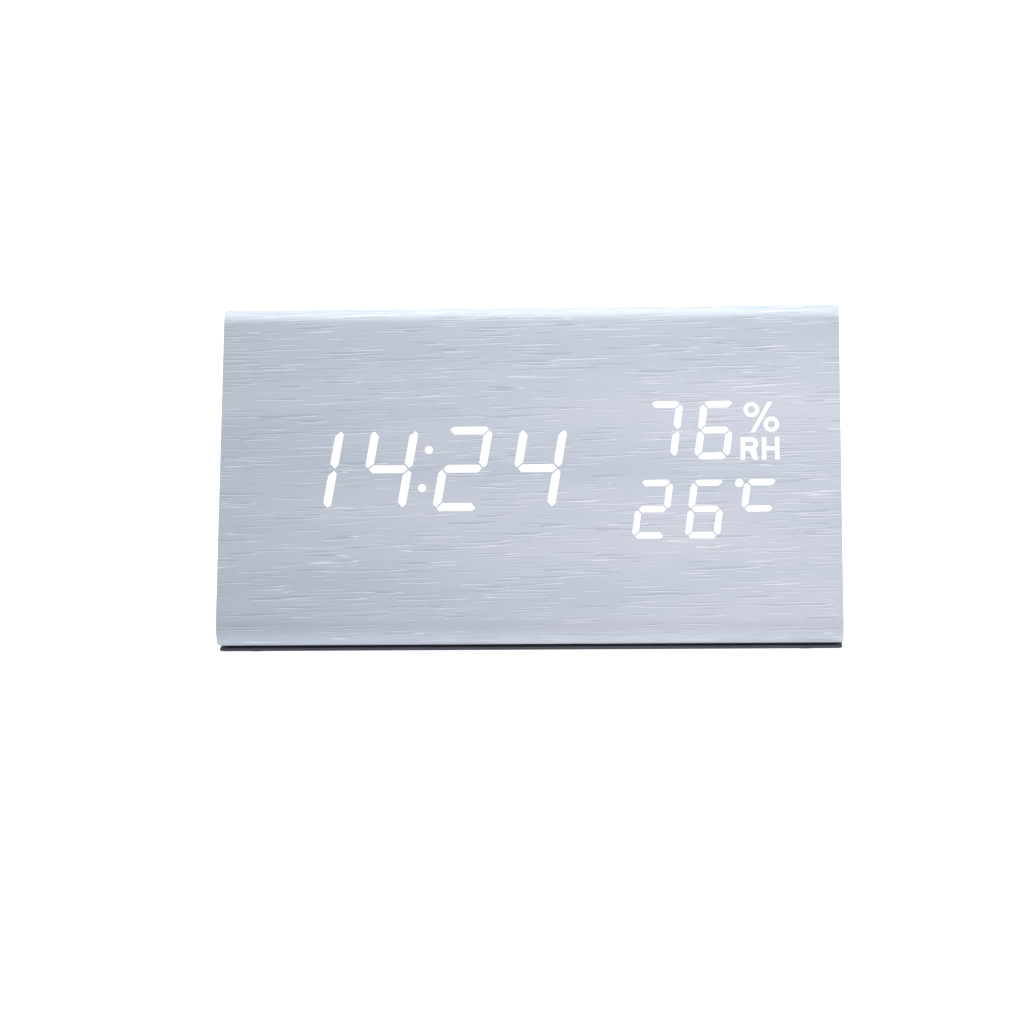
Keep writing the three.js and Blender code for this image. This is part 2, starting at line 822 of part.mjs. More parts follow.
function rearPanelScrews() {
  return rearPanelScrewPlaces().map(({ name, x, y }) => {
    const screw = piece(name, countersunkScrew(panelScrew), 'steel');
    screw.position.set(x, y, panelFront);
    return screw;
  });
}

function button({ name, x, y }) {
  const crown = panelFront + buttonProud;
  const cap = piece(`${name}_button`, turned([
    [0, plungerTop + seatGap],
    [buttonStemDiameter / 2, plungerTop + seatGap],
    [buttonStemDiameter / 2, flangeBottom],
    [buttonFlangeDiameter / 2, flangeBottom],
    [buttonFlangeDiameter / 2, flangeTop],
    [buttonDiameter / 2, flangeTop],
    [buttonDiameter / 2, crown - buttonEdge],
    [buttonDiameter / 2 - buttonEdge, crown],
    [0, crown],
  ]), 'blackPlastic');
  cap.position.set(x, y, 0);
  return cap;
}

function switchPlunger({ name, x, y }) {
  const plunger = rod(plungerDiameter, switchTop - plungerSink, plungerTop, x, y, smallSides);
  return piece(`${name}_switch_plunger`, plunger, 'blackPlastic');
}

function switchBody({ name, x, y }) {
  const body = block(switchWidth, switchWidth, outerSeat, switchTop, x, y);
  const well = switchTop - plungerSink - buttonTravel - runGap;
  const hole = rod(plungerDiameter + 2 * runGap, well, switchTop + fitGap, x, y, smallSides);
  return piece(`${name}_switch`, cut(body, hole), 'steel');
}

function mainBoard() {
  const sheet = block(mainBoardWidth, mainBoardHeight, mainBoardInner, mainBoardOuter, 0, panelRise);
  const holes = [-1, 1].map((side) => rod(
    boardScrew.shaft + 2 * drillGap,
    mainBoardInner - fitGap,
    mainBoardOuter + fitGap,
    side * postSpacing / 2,
    panelRise,
    smallSides,
  ));
  return piece('main_board', cut(sheet, ...holes), 'greenBoard');
}

function mainBoardScrews() {
  return [['left', -1], ['right', 1]].map(([name, side]) => {
    const screw = piece(`main_board_screw_${name}`, panHeadScrew(boardScrew), 'steel');
    screw.rotation.x = Math.PI;
    screw.position.set(side * postSpacing / 2, panelRise, innerSeat - boardScrew.headHeight);
    return screw;
  });
}

function powerSocket() {
  const [x, y] = [socketX, panelRise + socketRise];
  const shoulder = panelBack - runGap;
  const mouth = panelFront - socketCollarShy;
  const body = block(socketWidth, socketWidth, outerSeat, shoulder, x, y);
  const collar = rod(socketCollarDiameter, shoulder - seatGap, mouth, x, y);
  const bore = rod(socketBore, outerSeat + socketFloor, mouth + fitGap, x, y);
  const pinHole = rod(socketPinDiameter + 2 * drillGap, outerSeat - fitGap, mouth, x, y, smallSides);
  return piece('power_socket', cut(joined(body, collar), bore, pinHole), 'blackPlastic');
}

function powerSocketPin() {
  const tip = panelFront - socketCollarShy - socketPinShy;
  const pin = turned([
    [0, outerSeat],
    [socketPinDiameter / 2, outerSeat],
    [socketPinDiameter / 2, tip - socketPinDiameter / 4],
    [socketPinDiameter / 4, tip],
    [0, tip],
  ], smallSides);
  return piece('power_socket_pin', pin.translate(socketX, panelRise + socketRise, 0), 'brightMetal');
}

function climateSensor() {
  const y = panelRise + sensorRise;
  const top = outerSeat + sensorDepth;
  const body = block(sensorWidth, sensorHeight, outerSeat, top, sensorX, y);
  const slots = [-1, 0, 1].map((row) => {
    const slotY = y + row * sensorSlotPitch;
    return block(sensorSlotLength, sensorSlotWidth, top - sensorSlotDepth, top + fitGap, sensorX, slotY);
  });
  return piece('climate_sensor', cut(body, ...slots), 'sensorShell');
}

function microphone() {
  const top = outerSeat + microphoneDepth;
  const capsule = rod(microphoneDiameter, outerSeat, top, microphoneX, panelRise + microphoneRise);
  return piece('microphone', capsule, 'brightMetal');
}

function buzzer() {
  const low = innerSeat - buzzerDepth;
  const can = rod(buzzerDiameter, low, innerSeat, buzzerX, panelRise);
  const hole = rod(buzzerHole, low - fitGap, low + buzzerHole, buzzerX, panelRise, smallSides);
  return piece('buzzer', cut(can, hole), 'blackPlastic');
}

function coinCellHolder() {
  const low = innerSeat - coinHolderDepth;
  const cup = rod(coinHolderDiameter, low, innerSeat, coinHolderX, panelRise);
  const well = rod(coinWellDiameter, low - fitGap, innerSeat - coinHolderFloor, coinHolderX, panelRise);
  return piece('coin_cell_holder', cut(cup, well), 'blackPlastic');
}

function coinCell() {
  const top = innerSeat - coinHolderFloor - seatGap;
  const disc = rod(coinDiameter, top - coinThickness, top, coinHolderX, panelRise);
  return piece('coin_cell', disc, 'brightMetal');
}

function controllerChip() {
  const chip = block(chipWidth, chipHeight, innerSeat - chipDepth, innerSeat, chipX, panelRise + chipRise);
  return piece('controller_chip', chip, 'blackPlastic');
}

function crystal() {
  const low = innerSeat - crystalDepth;
  const can = rod(crystalDiameter, low, innerSeat, crystalX, panelRise + crystalRise, smallSides);
  return piece('crystal', can, 'brightMetal');
}

function mainConnector() {
  const middle = panelRise + mainConnectorRise;
  const slot = connectorSlot(middle + connectorHeight / 2, innerSeat - connectorDepth / 2);
  const body = block(connectorWidth, connectorHeight, innerSeat - connectorDepth, innerSeat, 0, middle);
  return piece('main_connector', cut(body, slot), 'connector');
}

// The ribbon leaves both connectors upwards and turns over between the boards
function ribbonCable() {
  const mainTop = panelRise + mainConnectorRise + connectorHeight / 2;
  const displayTop = displayRise + displayConnectorRise + connectorHeight / 2;
  const mainDepth = innerSeat - connectorDepth / 2;
  const displayDepth = displayBoardBack - seatGap - connectorDepth / 2;
  const route = new THREE.CubicBezierCurve3(
    new THREE.Vector3(0, mainTop - ribbonSeat, mainDepth).applyMatrix4(back.matrixWorld),
    new THREE.Vector3(0, mainTop + ribbonBend, mainDepth).applyMatrix4(back.matrixWorld),
    new THREE.Vector3(0, displayTop + ribbonBend, displayDepth).applyMatrix4(front.matrixWorld),
    new THREE.Vector3(0, displayTop - ribbonSeat, displayDepth).applyMatrix4(front.matrixWorld),
  );
  const edges = [1, -1].map((side) => Array.from({ length: ribbonSteps + 1 }, (_, index) => {
    const point = route.getPoint(index / ribbonSteps);
    const along = route.getTangent(index / ribbonSteps);
    const off = side * ribbonThickness / 2;
    return [point.y - along.z * off, point.z + along.y * off];
  }));
  return piece('ribbon_cable', alongX(polygon([...edges[0], ...edges[1].reverse()]), ribbonWidth), 'ribbon');
}

// Wooden tube and its wrap

const bayInnerLength = 2 * (cellLength + contactThickness) + springLength + 5 * seatGap;
const bayInnerWidth = 2 * cellDiameter + 3 * cellGap;
const bayOuterLength = bayInnerLength + 2 * bayWall;
const bayOuterWidth = bayInnerWidth + 2 * bayWall;
const doorTop = footStand + doorThickness;
const cellAxisZ = doorTop + cellGap + cellDiameter / 2;
const bayInnerTop = cellAxisZ + cellDiameter / 2 + cellGap;
const bayTop = bayInnerTop + bayRoof;
const rowOffset = (cellDiameter + cellGap) / 2;

const baseScrewPlaces = fourCorners(caseWidth - 2 * baseScrewEndDistance, baseScrewRowDistance);

function baseScrewHoles() {
  return baseScrewPlaces.map(({ x, y }) => (
    countersunkHole(baseScrew).rotateX(Math.PI).translate(x, y, footStand)
  ));
}

function bayWindow() {
  const [length, width] = [bayOuterLength + 2 * fitGap, bayOuterWidth + 2 * fitGap];
  return block(length, width, shellBottom - fitGap, shellBottom + wallThickness + fitGap);
}

function rearPocket() {
  const size = [panelWidth + 2 * fitGap, panelHeight + 2 * fitGap, panelCornerRadius + fitGap];
  const outline = roundedRectangle(...size, 0, panelRise);
  return inCase(plate(outline, panelBack - seatGap, fitGap, cornerSegments), back);
}

function rearWindow() {
  const depth = wallThickness + fitGap;
  return inCase(block(rearWindowWidth, rearWindowHeight, -depth, 0, 0, panelRise), back);
}

function displayWindow() {
  const [width, height] = [frameWidth + 2 * fitGap, frameHeight + 2 * fitGap];
  return inCase(block(width, height, -wallThickness - fitGap, fitGap, 0, displayRise), front);
}

function displayScrewHoles() {
  const tip = displayScrewHeadTop + displayScrew.length + drillGap;
  return displayScrewPlaces().map(({ x, y }) => (
    inCase(rod(displayScrew.shaft + 2 * drillGap, displayBoardFront, tip, x, y, smallSides), front)
  ));
}

function woodShell() {
  const inset = veneerThickness + glueGap;
  const outline = caseOutline(inset, cornerRadius - inset);
  outline.holes.push(caseOutline(wallThickness, innerCornerRadius));
  const tube = alongX(outline, caseWidth);
  const panelHoles = rearPanelScrewHoles().map((hole) => inCase(hole, back));
  const windows = [displayWindow(), rearPocket(), rearWindow(), bayWindow()];
  const holes = [...displayScrewHoles(), ...panelHoles, ...baseScrewHoles()];
  return piece('wood_shell', cut(tube, ...windows, ...holes), 'woodCore');
}

function veneerWrap() {
  const outline = caseOutline(0, cornerRadius);
  outline.holes.push(caseOutline(veneerThickness, cornerRadius - veneerThickness));
  const tube = alongX(outline, caseWidth);
  const rows = [timeOutlines, humidityOutlines, temperatureOutlines];
  const lit = rows.flatMap((outlines) => outlines(stencilGap));
  const stencil = lit.map((shape) => inCase(plate(shape, frameFront, fitGap), front));
  const tools = [rearPocket(), bayWindow(), ...baseScrewHoles(), ...stencil];
  return piece('veneer_wrap', cut(tube, ...tools), 'veneer');
}

function endPanels() {
  const outline = caseOutline(wallThickness + fitGap, innerCornerRadius);
  return [['left', -1], ['right', 1]].map(([name, side]) => {
    const panel = piece(`end_panel_${name}`, alongX(outline, endPanelThickness), 'veneer');
    panel.position.x = side * (caseWidth / 2 - endPanelRecess - endPanelThickness / 2);
    return panel;
  });
}

// Base, feet and battery door

const footPlaces = fourCorners(caseWidth - 2 * footEndDistance, footRowDistance);
const hingeY = bayInnerWidth / 2 - fitGap - doorThickness / 2;
const hingeZ = footStand + doorThickness / 2;
const doorLength = bayInnerLength - 2 * fitGap;

function rodAlongX(diameter, length, y, z, sides = smallSides) {
  return rod(diameter, -length / 2, length / 2, 0, 0, sides).rotateY(Math.PI / 2).translate(0, y, z);
}

function tabSlots() {
  const x = -bayInnerLength / 2 + seatGap + contactThickness / 2;
  const [length, width] = [contactThickness + 2 * runGap, contactTabWidth + 2 * runGap];
  return [-1, 1].map((row) => (
    block(length, width, bayInnerTop - fitGap, bayTop + fitGap, x, row * rowOffset)
  ));
}

function basePlate() {
  const length = caseWidth - 2 * baseEndInset;
  const width = 2 * (lowCornerY + baseEdgeReach);
  const edgeTop = footStand + baseEdgeHeight;
  const edge = plate(roundedRectangle(length, width, baseCornerRadius), footStand, edgeTop, cornerSegments);
  const raised = plate(
    roundedRectangle(length - 2 * shadowGapDepth, width - 2 * shadowGapDepth, baseCornerRadius),
    edgeTop - seatGap,
    footStand + baseThickness,
    cornerSegments,
  );
  const bay = block(bayOuterLength, bayOuterWidth, footStand, bayTop);
  const hollow = block(bayInnerLength, bayInnerWidth, footStand - fitGap, bayInnerTop);
  const hingeLength = doorLength + 2 * (hingePinReach + runGap);
  const hinge = rodAlongX(hingePinDiameter + 2 * runGap, hingeLength, hingeY, hingeZ);
  const notchY = -(bayInnerWidth + fingerNotchReach) / 2;
  const notchTop = footStand + fingerNotchDepth;
  const notch = block(fingerNotchWidth, fingerNotchReach + fitGap, footStand - fitGap, notchTop, 0, notchY);
  const recesses = footPlaces.map(({ x, y }) => (
    rod(footDiameter + 2 * fitGap, footStand - fitGap, footStand + footRecess, x, y)
  ));
  const tools = [hollow, hinge, notch, ...recesses, ...tabSlots(), ...baseScrewHoles()];
  return piece('base_plate', cut(joined(edge, raised, bay), ...tools), 'darkPlastic');
}

function rubberFeet() {
  const top = footStand + footRecess - seatGap;
  const chamfer = footStand / 2;
  return footPlaces.map(({ name, x, y }) => {
    const foot = turned([
      [0, 0],
      [footDiameter / 2 - chamfer, 0],
      [footDiameter / 2, chamfer],
      [footDiameter / 2, top],
      [0, top],
    ]);
    return piece(`rubber_foot_${name}`, foot.translate(x, y, 0), 'rubber');
  });
}

function baseScrews() {
  return baseScrewPlaces.map(({ name, x, y }) => {
    const screw = piece(`base_screw_${name}`, countersunkScrew(baseScrew), 'steel');
    screw.rotation.x = Math.PI;
    screw.position.set(x, y, footStand);
    return screw;
  });
}

function batteryDoor() {
  const frontY = -bayInnerWidth / 2 + fitGap;
  const leaf = block(doorLength, hingeY - frontY, footStand, doorTop, 0, (hingeY + frontY) / 2);
  const knuckle = rodAlongX(doorThickness, doorLength, hingeY, hingeZ);
  const pins = rodAlongX(hingePinDiameter, doorLength + 2 * hingePinReach, hingeY, hingeZ);
  const latch = block(
    latchWidth,
    latchThickness,
    doorTop - seatGap,
    doorTop + latchHeight,
    0,
    frontY + latchThickness / 2,
  );
  return piece('battery_door', joined(leaf, knuckle, pins, latch), 'darkPlastic');
}

// Battery cells and their contacts: the front row points right and the rear row points left

const contactSeat = bayInnerLength / 2 - seatGap;
const springSeat = contactSeat - contactThickness;
const firstCellEnd = springSeat - springLength - seatGap;

function batteryCell(name, row, place) {
  const shoulder = cellLength - cellNubHeight;
  const body = turned([
    [0, 0],
    [cellDiameter / 2 - cellEdgeRadius, 0],
    [cellDiameter / 2, cellEdgeRadius],
    [cellDiameter / 2, shoulder - cellEdgeRadius],
    [cellDiameter / 2 - cellEdgeRadius, shoulder],
    [cellNubDiameter / 2, shoulder],
    [cellNubDiameter / 2, cellLength],
    [0, cellLength],
  ]);
  const cell = piece(`battery_cell_${name}`, body, 'cellWrap');
  const start = -firstCellEnd + place * (cellLength + seatGap);
  cell.rotation.y = -row * Math.PI / 2;
  cell.position.set(-row * start, row * rowOffset, cellAxisZ);
  return cell;
}

function batteryCells() {
  return [
    batteryCell('front_left', -1, 0),
    batteryCell('front_right', -1, 1),
    batteryCell('rear_right', 1, 0),
    batteryCell('rear_left', 1, 1),
  ];
}

// A spring narrows from its plate to its tip; its axis is +X, and it starts just inside the plate's face
class SpringCurve extends THREE.Curve {
  getPoint(share, target = new THREE.Vector3()) {
    const radius = springBaseRadius + (springTipRadius - springBaseRadius) * share;
    const angle = share * springTurns * 2 * Math.PI;
    const start = springWire / 2 - springSink;
    const end = springLength - springWire / 2;
    return target.set(start + (end - start) * share, radius * Math.cos(angle), radius * Math.sin(angle));
  }
}

function springCoil() {
  const section = new THREE.Shape();
  for (let side = 0; side < springSides; side += 1) {
    const angle = side * 2 * Math.PI / springSides;
    const corner = [springWire / 2 * Math.cos(angle), springWire / 2 * Math.sin(angle)];
    if (side === 0) {
      section.moveTo(...corner);
    } else {
      section.lineTo(...corner);
    }
  }
  section.closePath();
  const steps = springTurns * springStepsPerTurn;
  return new THREE.ExtrudeGeometry(section, { steps, extrudePath: new SpringCurve(), bevelEnabled: false });
}

// The least clear distance between neighbouring curls of the spring
function springSelfGap() {
  const samples = springSamplesPerTurn * springTurns;
  const points = new SpringCurve().getPoints(samples);
  const halfTurn = springSamplesPerTurn / 2;
  let least = Infinity;
  points.forEach((point, index) => {
    points.slice(index + halfTurn).forEach((other) => {
      least = Math.min(least, point.distanceTo(other));
    });
  });
  return least - springWire;
}

function contactPlate(row, end) {
  const x = end * (contactSeat - contactThickness / 2);
  const half = contactHeight / 2;
  return block(contactThickness, contactWidth, cellAxisZ - half, cellAxisZ + half, x, row * rowOffset);
}

function contactTab(row) {
  const x = -(contactSeat - contactThickness / 2);
  return block(contactThickness, contactTabWidth, cellAxisZ, bayTop + contactTabReach, x, row * rowOffset);
}

function springAt(row, end) {
  const coil = springCoil();
  if (end > 0) {
    coil.rotateZ(Math.PI);
  }
  return coil.translate(end * springSeat, row * rowOffset, cellAxisZ);
}

function contacts() {
  const bridge = block(
    contactThickness,
    2 * rowOffset,
    cellAxisZ - contactTabWidth,
    cellAxisZ + contactTabWidth,
    contactSeat - contactThickness / 2,
  );
  return [
    piece('negative_contact', joined(contactPlate(-1, -1), contactTab(-1), springAt(-1, -1)), 'steel'),
    piece('positive_contact', joined(contactPlate(1, -1), contactTab(1)), 'steel'),
    piece('bridge_contact', joined(contactPlate(-1, 1), contactPlate(1, 1), bridge, springAt(1, 1)), 'steel'),
  ];
}

// A lead rises from its contact's tab and lands square on the inner side of the main board
function batteryLead(name, row, finish) {
  const tabTop = bayTop + contactTabReach;
  const start = new THREE.Vector3(-(contactSeat - contactThickness / 2), row * rowOffset, tabTop + runGap);
  const landingY = panelRise + leadLandingRise + (1 - row) * leadLandingSpacing / 2;
  const landing = new THREE.Vector3(leadLandingX, landingY, innerSeat);
  const approach = landing.clone();
  approach.z -= leadBend;
  const route = new THREE.CubicBezierCurve3(
    start,
    start.clone().add(new THREE.Vector3(0, 0, leadBend)),
    approach.applyMatrix4(back.matrixWorld),
    landing.applyMatrix4(back.matrixWorld),
  );
  const section = new THREE.Shape();
  section.absarc(0, 0, leadDiameter / 2, 0, Math.PI * 2);
  const options = { steps: leadSteps, curveSegments: wireSides / 2, extrudePath: route, bevelEnabled: false };
  return piece(name, new THREE.ExtrudeGeometry(section, options), finish);
}

// Assembly

console.log(`spring least gap ${springSelfGap().toFixed(2)} mm`);

clock.add(
  woodShell(),
  veneerWrap(),
  ...endPanels(),
  basePlate(),
  batteryDoor(),
  ...rubberFeet(),
  ...baseScrews(),
  ...batteryCells(),
  ...contacts(),
  batteryLead('red_lead', 1, 'redWire'),
  batteryLead('black_lead', -1, 'blackWire'),
  ribbonCable(),
);

front.add(
  displayFrame(),
  lightGuide('time_light_guide', displayWindows.time, timeOutlines(0)),
  lightGuide(
    'humidity_light_guide',
    displayWindows.humidity,
    humidityOutlines(0),
    ...percentEyes(),
    plate(letterEye(), -guideReach, seatGap),
  ),
  lightGuide('temperature_light_guide', displayWindows.temperature, temperatureOutlines(0)),
  displayBoard(),
  ...displayScrews(),
  displayConnector(),
);

back.add(
  rearPanel(),
  ...rearPanelScrews(),
  ...buttons.map(button),
  ...buttons.map(switchPlunger),
  ...buttons.map(switchBody),
  mainBoard(),
  ...mainBoardScrews(),
  powerSocket(),
  powerSocketPin(),
  climateSensor(),
  microphone(),
  buzzer(),
  coinCellHolder(),
  coinCell(),
  controllerChip(),
  crystal(),
  mainConnector(),
);

export default clock;
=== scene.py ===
import json
import math

import bmesh
import bpy
from bpy.props import FloatProperty, FloatVectorProperty, IntProperty, PointerProperty
from mathutils import Matrix, Vector


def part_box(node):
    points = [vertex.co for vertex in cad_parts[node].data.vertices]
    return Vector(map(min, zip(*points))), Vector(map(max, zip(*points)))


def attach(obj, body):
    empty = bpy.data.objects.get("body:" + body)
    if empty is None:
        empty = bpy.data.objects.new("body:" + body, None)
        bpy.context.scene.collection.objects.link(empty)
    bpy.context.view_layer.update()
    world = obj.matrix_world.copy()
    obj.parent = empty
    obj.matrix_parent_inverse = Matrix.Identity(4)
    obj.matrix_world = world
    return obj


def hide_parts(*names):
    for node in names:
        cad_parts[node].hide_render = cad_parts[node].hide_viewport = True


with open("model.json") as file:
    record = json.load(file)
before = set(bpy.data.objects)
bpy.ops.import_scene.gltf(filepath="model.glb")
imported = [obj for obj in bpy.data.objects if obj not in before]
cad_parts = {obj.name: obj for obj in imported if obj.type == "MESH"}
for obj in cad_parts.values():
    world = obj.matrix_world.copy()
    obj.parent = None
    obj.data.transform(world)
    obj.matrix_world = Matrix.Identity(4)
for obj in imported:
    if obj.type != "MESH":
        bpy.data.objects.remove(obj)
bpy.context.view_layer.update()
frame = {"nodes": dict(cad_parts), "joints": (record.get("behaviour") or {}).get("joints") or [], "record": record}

bl_info = {
    "name": "Tent-shaped wooden clock",
    "version": (1, 0, 0),
    "blender": (4, 5, 0),
    "location": "View3D > Sidebar > Clock",
    "description": "Models and finishes the pieces of a veneered table clock with a light display",
    "category": "Object",
}

MM = 0.001
WELD = 1e-7
CUT_PAST = 0.3 * MM
ARC_STEPS = 16
CORNER_STEPS = 8
ROUND_STEPS = 64
ROD_STEPS = 32
SOFT_STEPS = 3
SHARP_ANGLE = math.radians(32)
FACES_ALONG = 0.9
QUARTER = math.pi / 2
SIDES = (-1, 1)
ALONG = Vector((1, 0, 0))
UP = Vector((0, 0, 1))
SLOT_OF_NODE = {part["node"]: part["material_slot"] for part in frame["record"]["subparts"]}
HINGE = next(joint["pos_m"] for joint in frame["joints"] if joint["name"] == "battery_door_hinge")

# The case, read from the frame
wrap_low, wrap_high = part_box("veneer_wrap")
CASE_WIDTH = wrap_high.x - wrap_low.x
CASE_DEPTH = wrap_high.y - wrap_low.y
CASE_BOTTOM = wrap_low.z
CASE_TOP = wrap_high.z

# Fits and inner sizes
GLUE_GAP = 0.1 * MM
END_GAP = 0.3 * MM
SEAT_GAP = 0.15 * MM
DRILL_GAP = 0.15 * MM
PANEL_GAP = 0.3 * MM
BUTTON_GAP = 0.2 * MM
PIN_GAP = 0.2 * MM
INNER_RADIUS = 0.8 * MM
BAY_WALL = 1.4 * MM
BAY_ROOF = 1.2 * MM
HINGE_PIN = 0.9 * MM
PIN_REACH = 1 * MM
FOOT_RECESS = 0.6 * MM

# Screws: diameters of head and shaft, and height of the head
BASE_SCREW = (4.4 * MM, 2.3 * MM, 1 * MM)
PANEL_SCREW = (3.6 * MM, 1.9 * MM, 0.9 * MM)

# Middle of the rear panel above the middle of the back
PANEL_RISE = -12.6 * MM

# Places on the rear panel, counted across it, up it and out of it from the middle of its front
BUTTON_RISE = 5 * MM
SCREW_X = 45 * MM
POST_X = 37 * MM
SOCKET_PLACE = (-27 * MM, -4.5 * MM)
SOUND_PLACE = (-27 * MM, 6.5 * MM)
VENT_PLACE = (26 * MM, -4.5 * MM)
BOARD_DEPTH = -8.25 * MM

# Which bars each character lights: a top, b and c right, d bottom, e and f left, g middle
LIT_BARS = {"1": "bc", "2": "abdeg", "4": "bcfg", "6": "acdefg", "7": "abc", "C": "afg"}
ACROSS_ROW = {"a": 1, "g": 0, "d": -1}
UPRIGHT_PLACE = {"b": (1, 1), "c": (1, -1), "e": (-1, -1), "f": (-1, 1)}


# Sizes, colours and settings that can be changed

def number(name, description, default, **traits):
    """A plain number property"""
    return FloatProperty(name=name, description=description, default=default, **traits)


def length(name, description, millimetres):
    """A length property, given in millimetres"""
    return number(name, description, millimetres * MM, unit="LENGTH", precision=5)


def lean(name, description, degrees):
    """An angle property, given in degrees"""
    return number(name, description, math.radians(degrees), subtype="ANGLE")


def colour(name, description, *default):
    """A colour property"""
    return FloatVectorProperty(name=name, description=description, default=default, size=3, min=0, max=1,
                               subtype="COLOR")


class CaseSizes(bpy.types.PropertyGroup):
    """Sizes of the wooden case"""
    corner_radius: length("Corner radius", "Radius of the three long edges of the case", 5)
    veneer: length("Veneer", "Thickness of the grained wrap", 0.4)
    core: length("Core", "Thickness of the wooden tube", 4.5)
    end_softening: length("End softening", "Rounding of the end boards' outer edges", 0.35)
    rim_softening: length("Rim softening", "Rounding of the wrap's end rims", 0.16)


class DisplaySizes(bpy.types.PropertyGroup):
    """Sizes and places of the lit characters on the front"""
    rise: length("Rise", "Height of the display above the middle of the face", -0.55)
    time_width: length("Time digit width", "Distance between a time digit's upright bars", 9.96)
    time_rise: length("Time digit rise", "Half the height of a time digit", 9.85)
    time_stroke: length("Time stroke", "Width of the time digits' bars", 1.95)
    time_slant: lean("Time slant", "Lean of the time digits", 8.8)
    time_pitch: length("Time pitch", "Distance between the digits of a pair", 18.06)
    time_offset: length("Time offset", "Distance from the colon to the nearest digit", 9)
    time_middle: length("Time middle", "Place of the colon across the face", -25.08)
    time_row: length("Time row", "Height of the time in the display", 0.6)
    colon_dot: length("Colon dot", "Diameter of the colon's dots", 1.95)
    colon_spacing: length("Colon spacing", "Distance between the colon's dots", 9.6)
    small_width: length("Small digit width", "Distance between a small digit's upright bars", 7.2)
    small_rise: length("Small digit rise", "Half the height of a small digit", 6.72)
    small_slant: lean("Small slant", "Lean of the small digits", 7)
    small_pitch: length("Small pitch", "Distance between small digits", 12.7)
    small_first: length("Small first", "Place of the first small digit across the face", 30.91)
    humidity_stroke: length("Humidity stroke", "Width of the humidity digits' bars", 1.66)
    humidity_row: length("Humidity row", "Height of the humidity in the display", 9.83)
    temperature_stroke: length("Temperature stroke", "Width of the temperature's bars", 1.53)
    temperature_row: length("Temperature row", "Height of the temperature in the display", -9.89)
    degree_dot: length("Degree dot", "Diameter of the degree dot", 2)


class BaseSizes(bpy.types.PropertyGroup):
    """Sizes of the base plate, its battery door and their edges"""
    edge_height: length("Edge height", "Height of the plate's visible edge", 0.8)
    shadow_gap: length("Shadow gap", "How far the raised part stays behind the edge", 1.5)
    corner_radius: length("Plate corners", "Radius of the plate's corners", 1.2)
    softening: length("Plate softening", "Rounding of the plate's edges", 0.2)
    door_gap: length("Door gap", "Gap around the battery door", 0.3)
    door_thickness: length("Door thickness", "Thickness of the battery door", 1.5)
    door_softening: length("Door softening", "Rounding of the door's edges", 0.18)
    notch_width: length("Notch width", "Width of the finger notch", 16)
    notch_reach: length("Notch reach", "Reach of the finger notch", 5)
    notch_depth: length("Notch depth", "Depth of the finger notch", 0.8)
    grip_ribs: IntProperty(name="Grip ribs", description="Grooves of the door's grip", default=6, min=0)


class ControlSizes(bpy.types.PropertyGroup):
    """Sizes of the rear panel and what shows on it"""
    panel_height: length("Panel height", "Height of the panel up the slope", 30)
    panel_thickness: length("Panel thickness", "Thickness of the panel", 2)
    panel_recess: length("Panel recess", "How deep the panel lies in the back", 0.6)
    panel_corner: length("Panel corners", "Radius of the panel's corners", 3)
    panel_softening: length("Panel softening", "Rounding of the panel's front edge", 0.3)
    mouth: length("Mouth", "Chamfer at the mouths of the holes", 0.25)
    button_pitch: length("Button pitch", "Distance between the buttons", 14)
    button_diameter: length("Button diameter", "Diameter of the buttons", 6)
    button_proud: length("Button proud", "How far the buttons stand out of the panel", 1.5)
    button_dish: length("Button dish", "Depth of the dish in a button's crown", 0.12)
    mark_size: length("Mark size", "Width of the moulded marks above the buttons", 2.6)
    mark_rise: length("Mark rise", "Height of the marks above the buttons", 6.1)
    mark_stroke: length("Mark stroke", "Width of the lines of the marks", 0.4)
    mark_proud: length("Mark proud", "How far the marks stand out of the panel", 0.08)
    socket_collar: length("Inlet collar", "Diameter of the power inlet's collar", 7.8)
    socket_bore: length("Inlet bore", "Diameter of the power inlet's bore", 5.6)
    socket_pin: length("Inlet pin", "Diameter of the power inlet's pin", 2)
    vent_length: length("Vent length", "Length of a vent slot", 10)
    vent_width: length("Vent width", "Width of a vent slot", 1.4)
    vent_pitch: length("Vent pitch", "Distance between vent slots", 2.6)
    vent_count: IntProperty(name="Vents", description="Number of vent slots", default=5, min=0)
    sound_hole: length("Sound hole", "Diameter of the sound hole", 1.6)


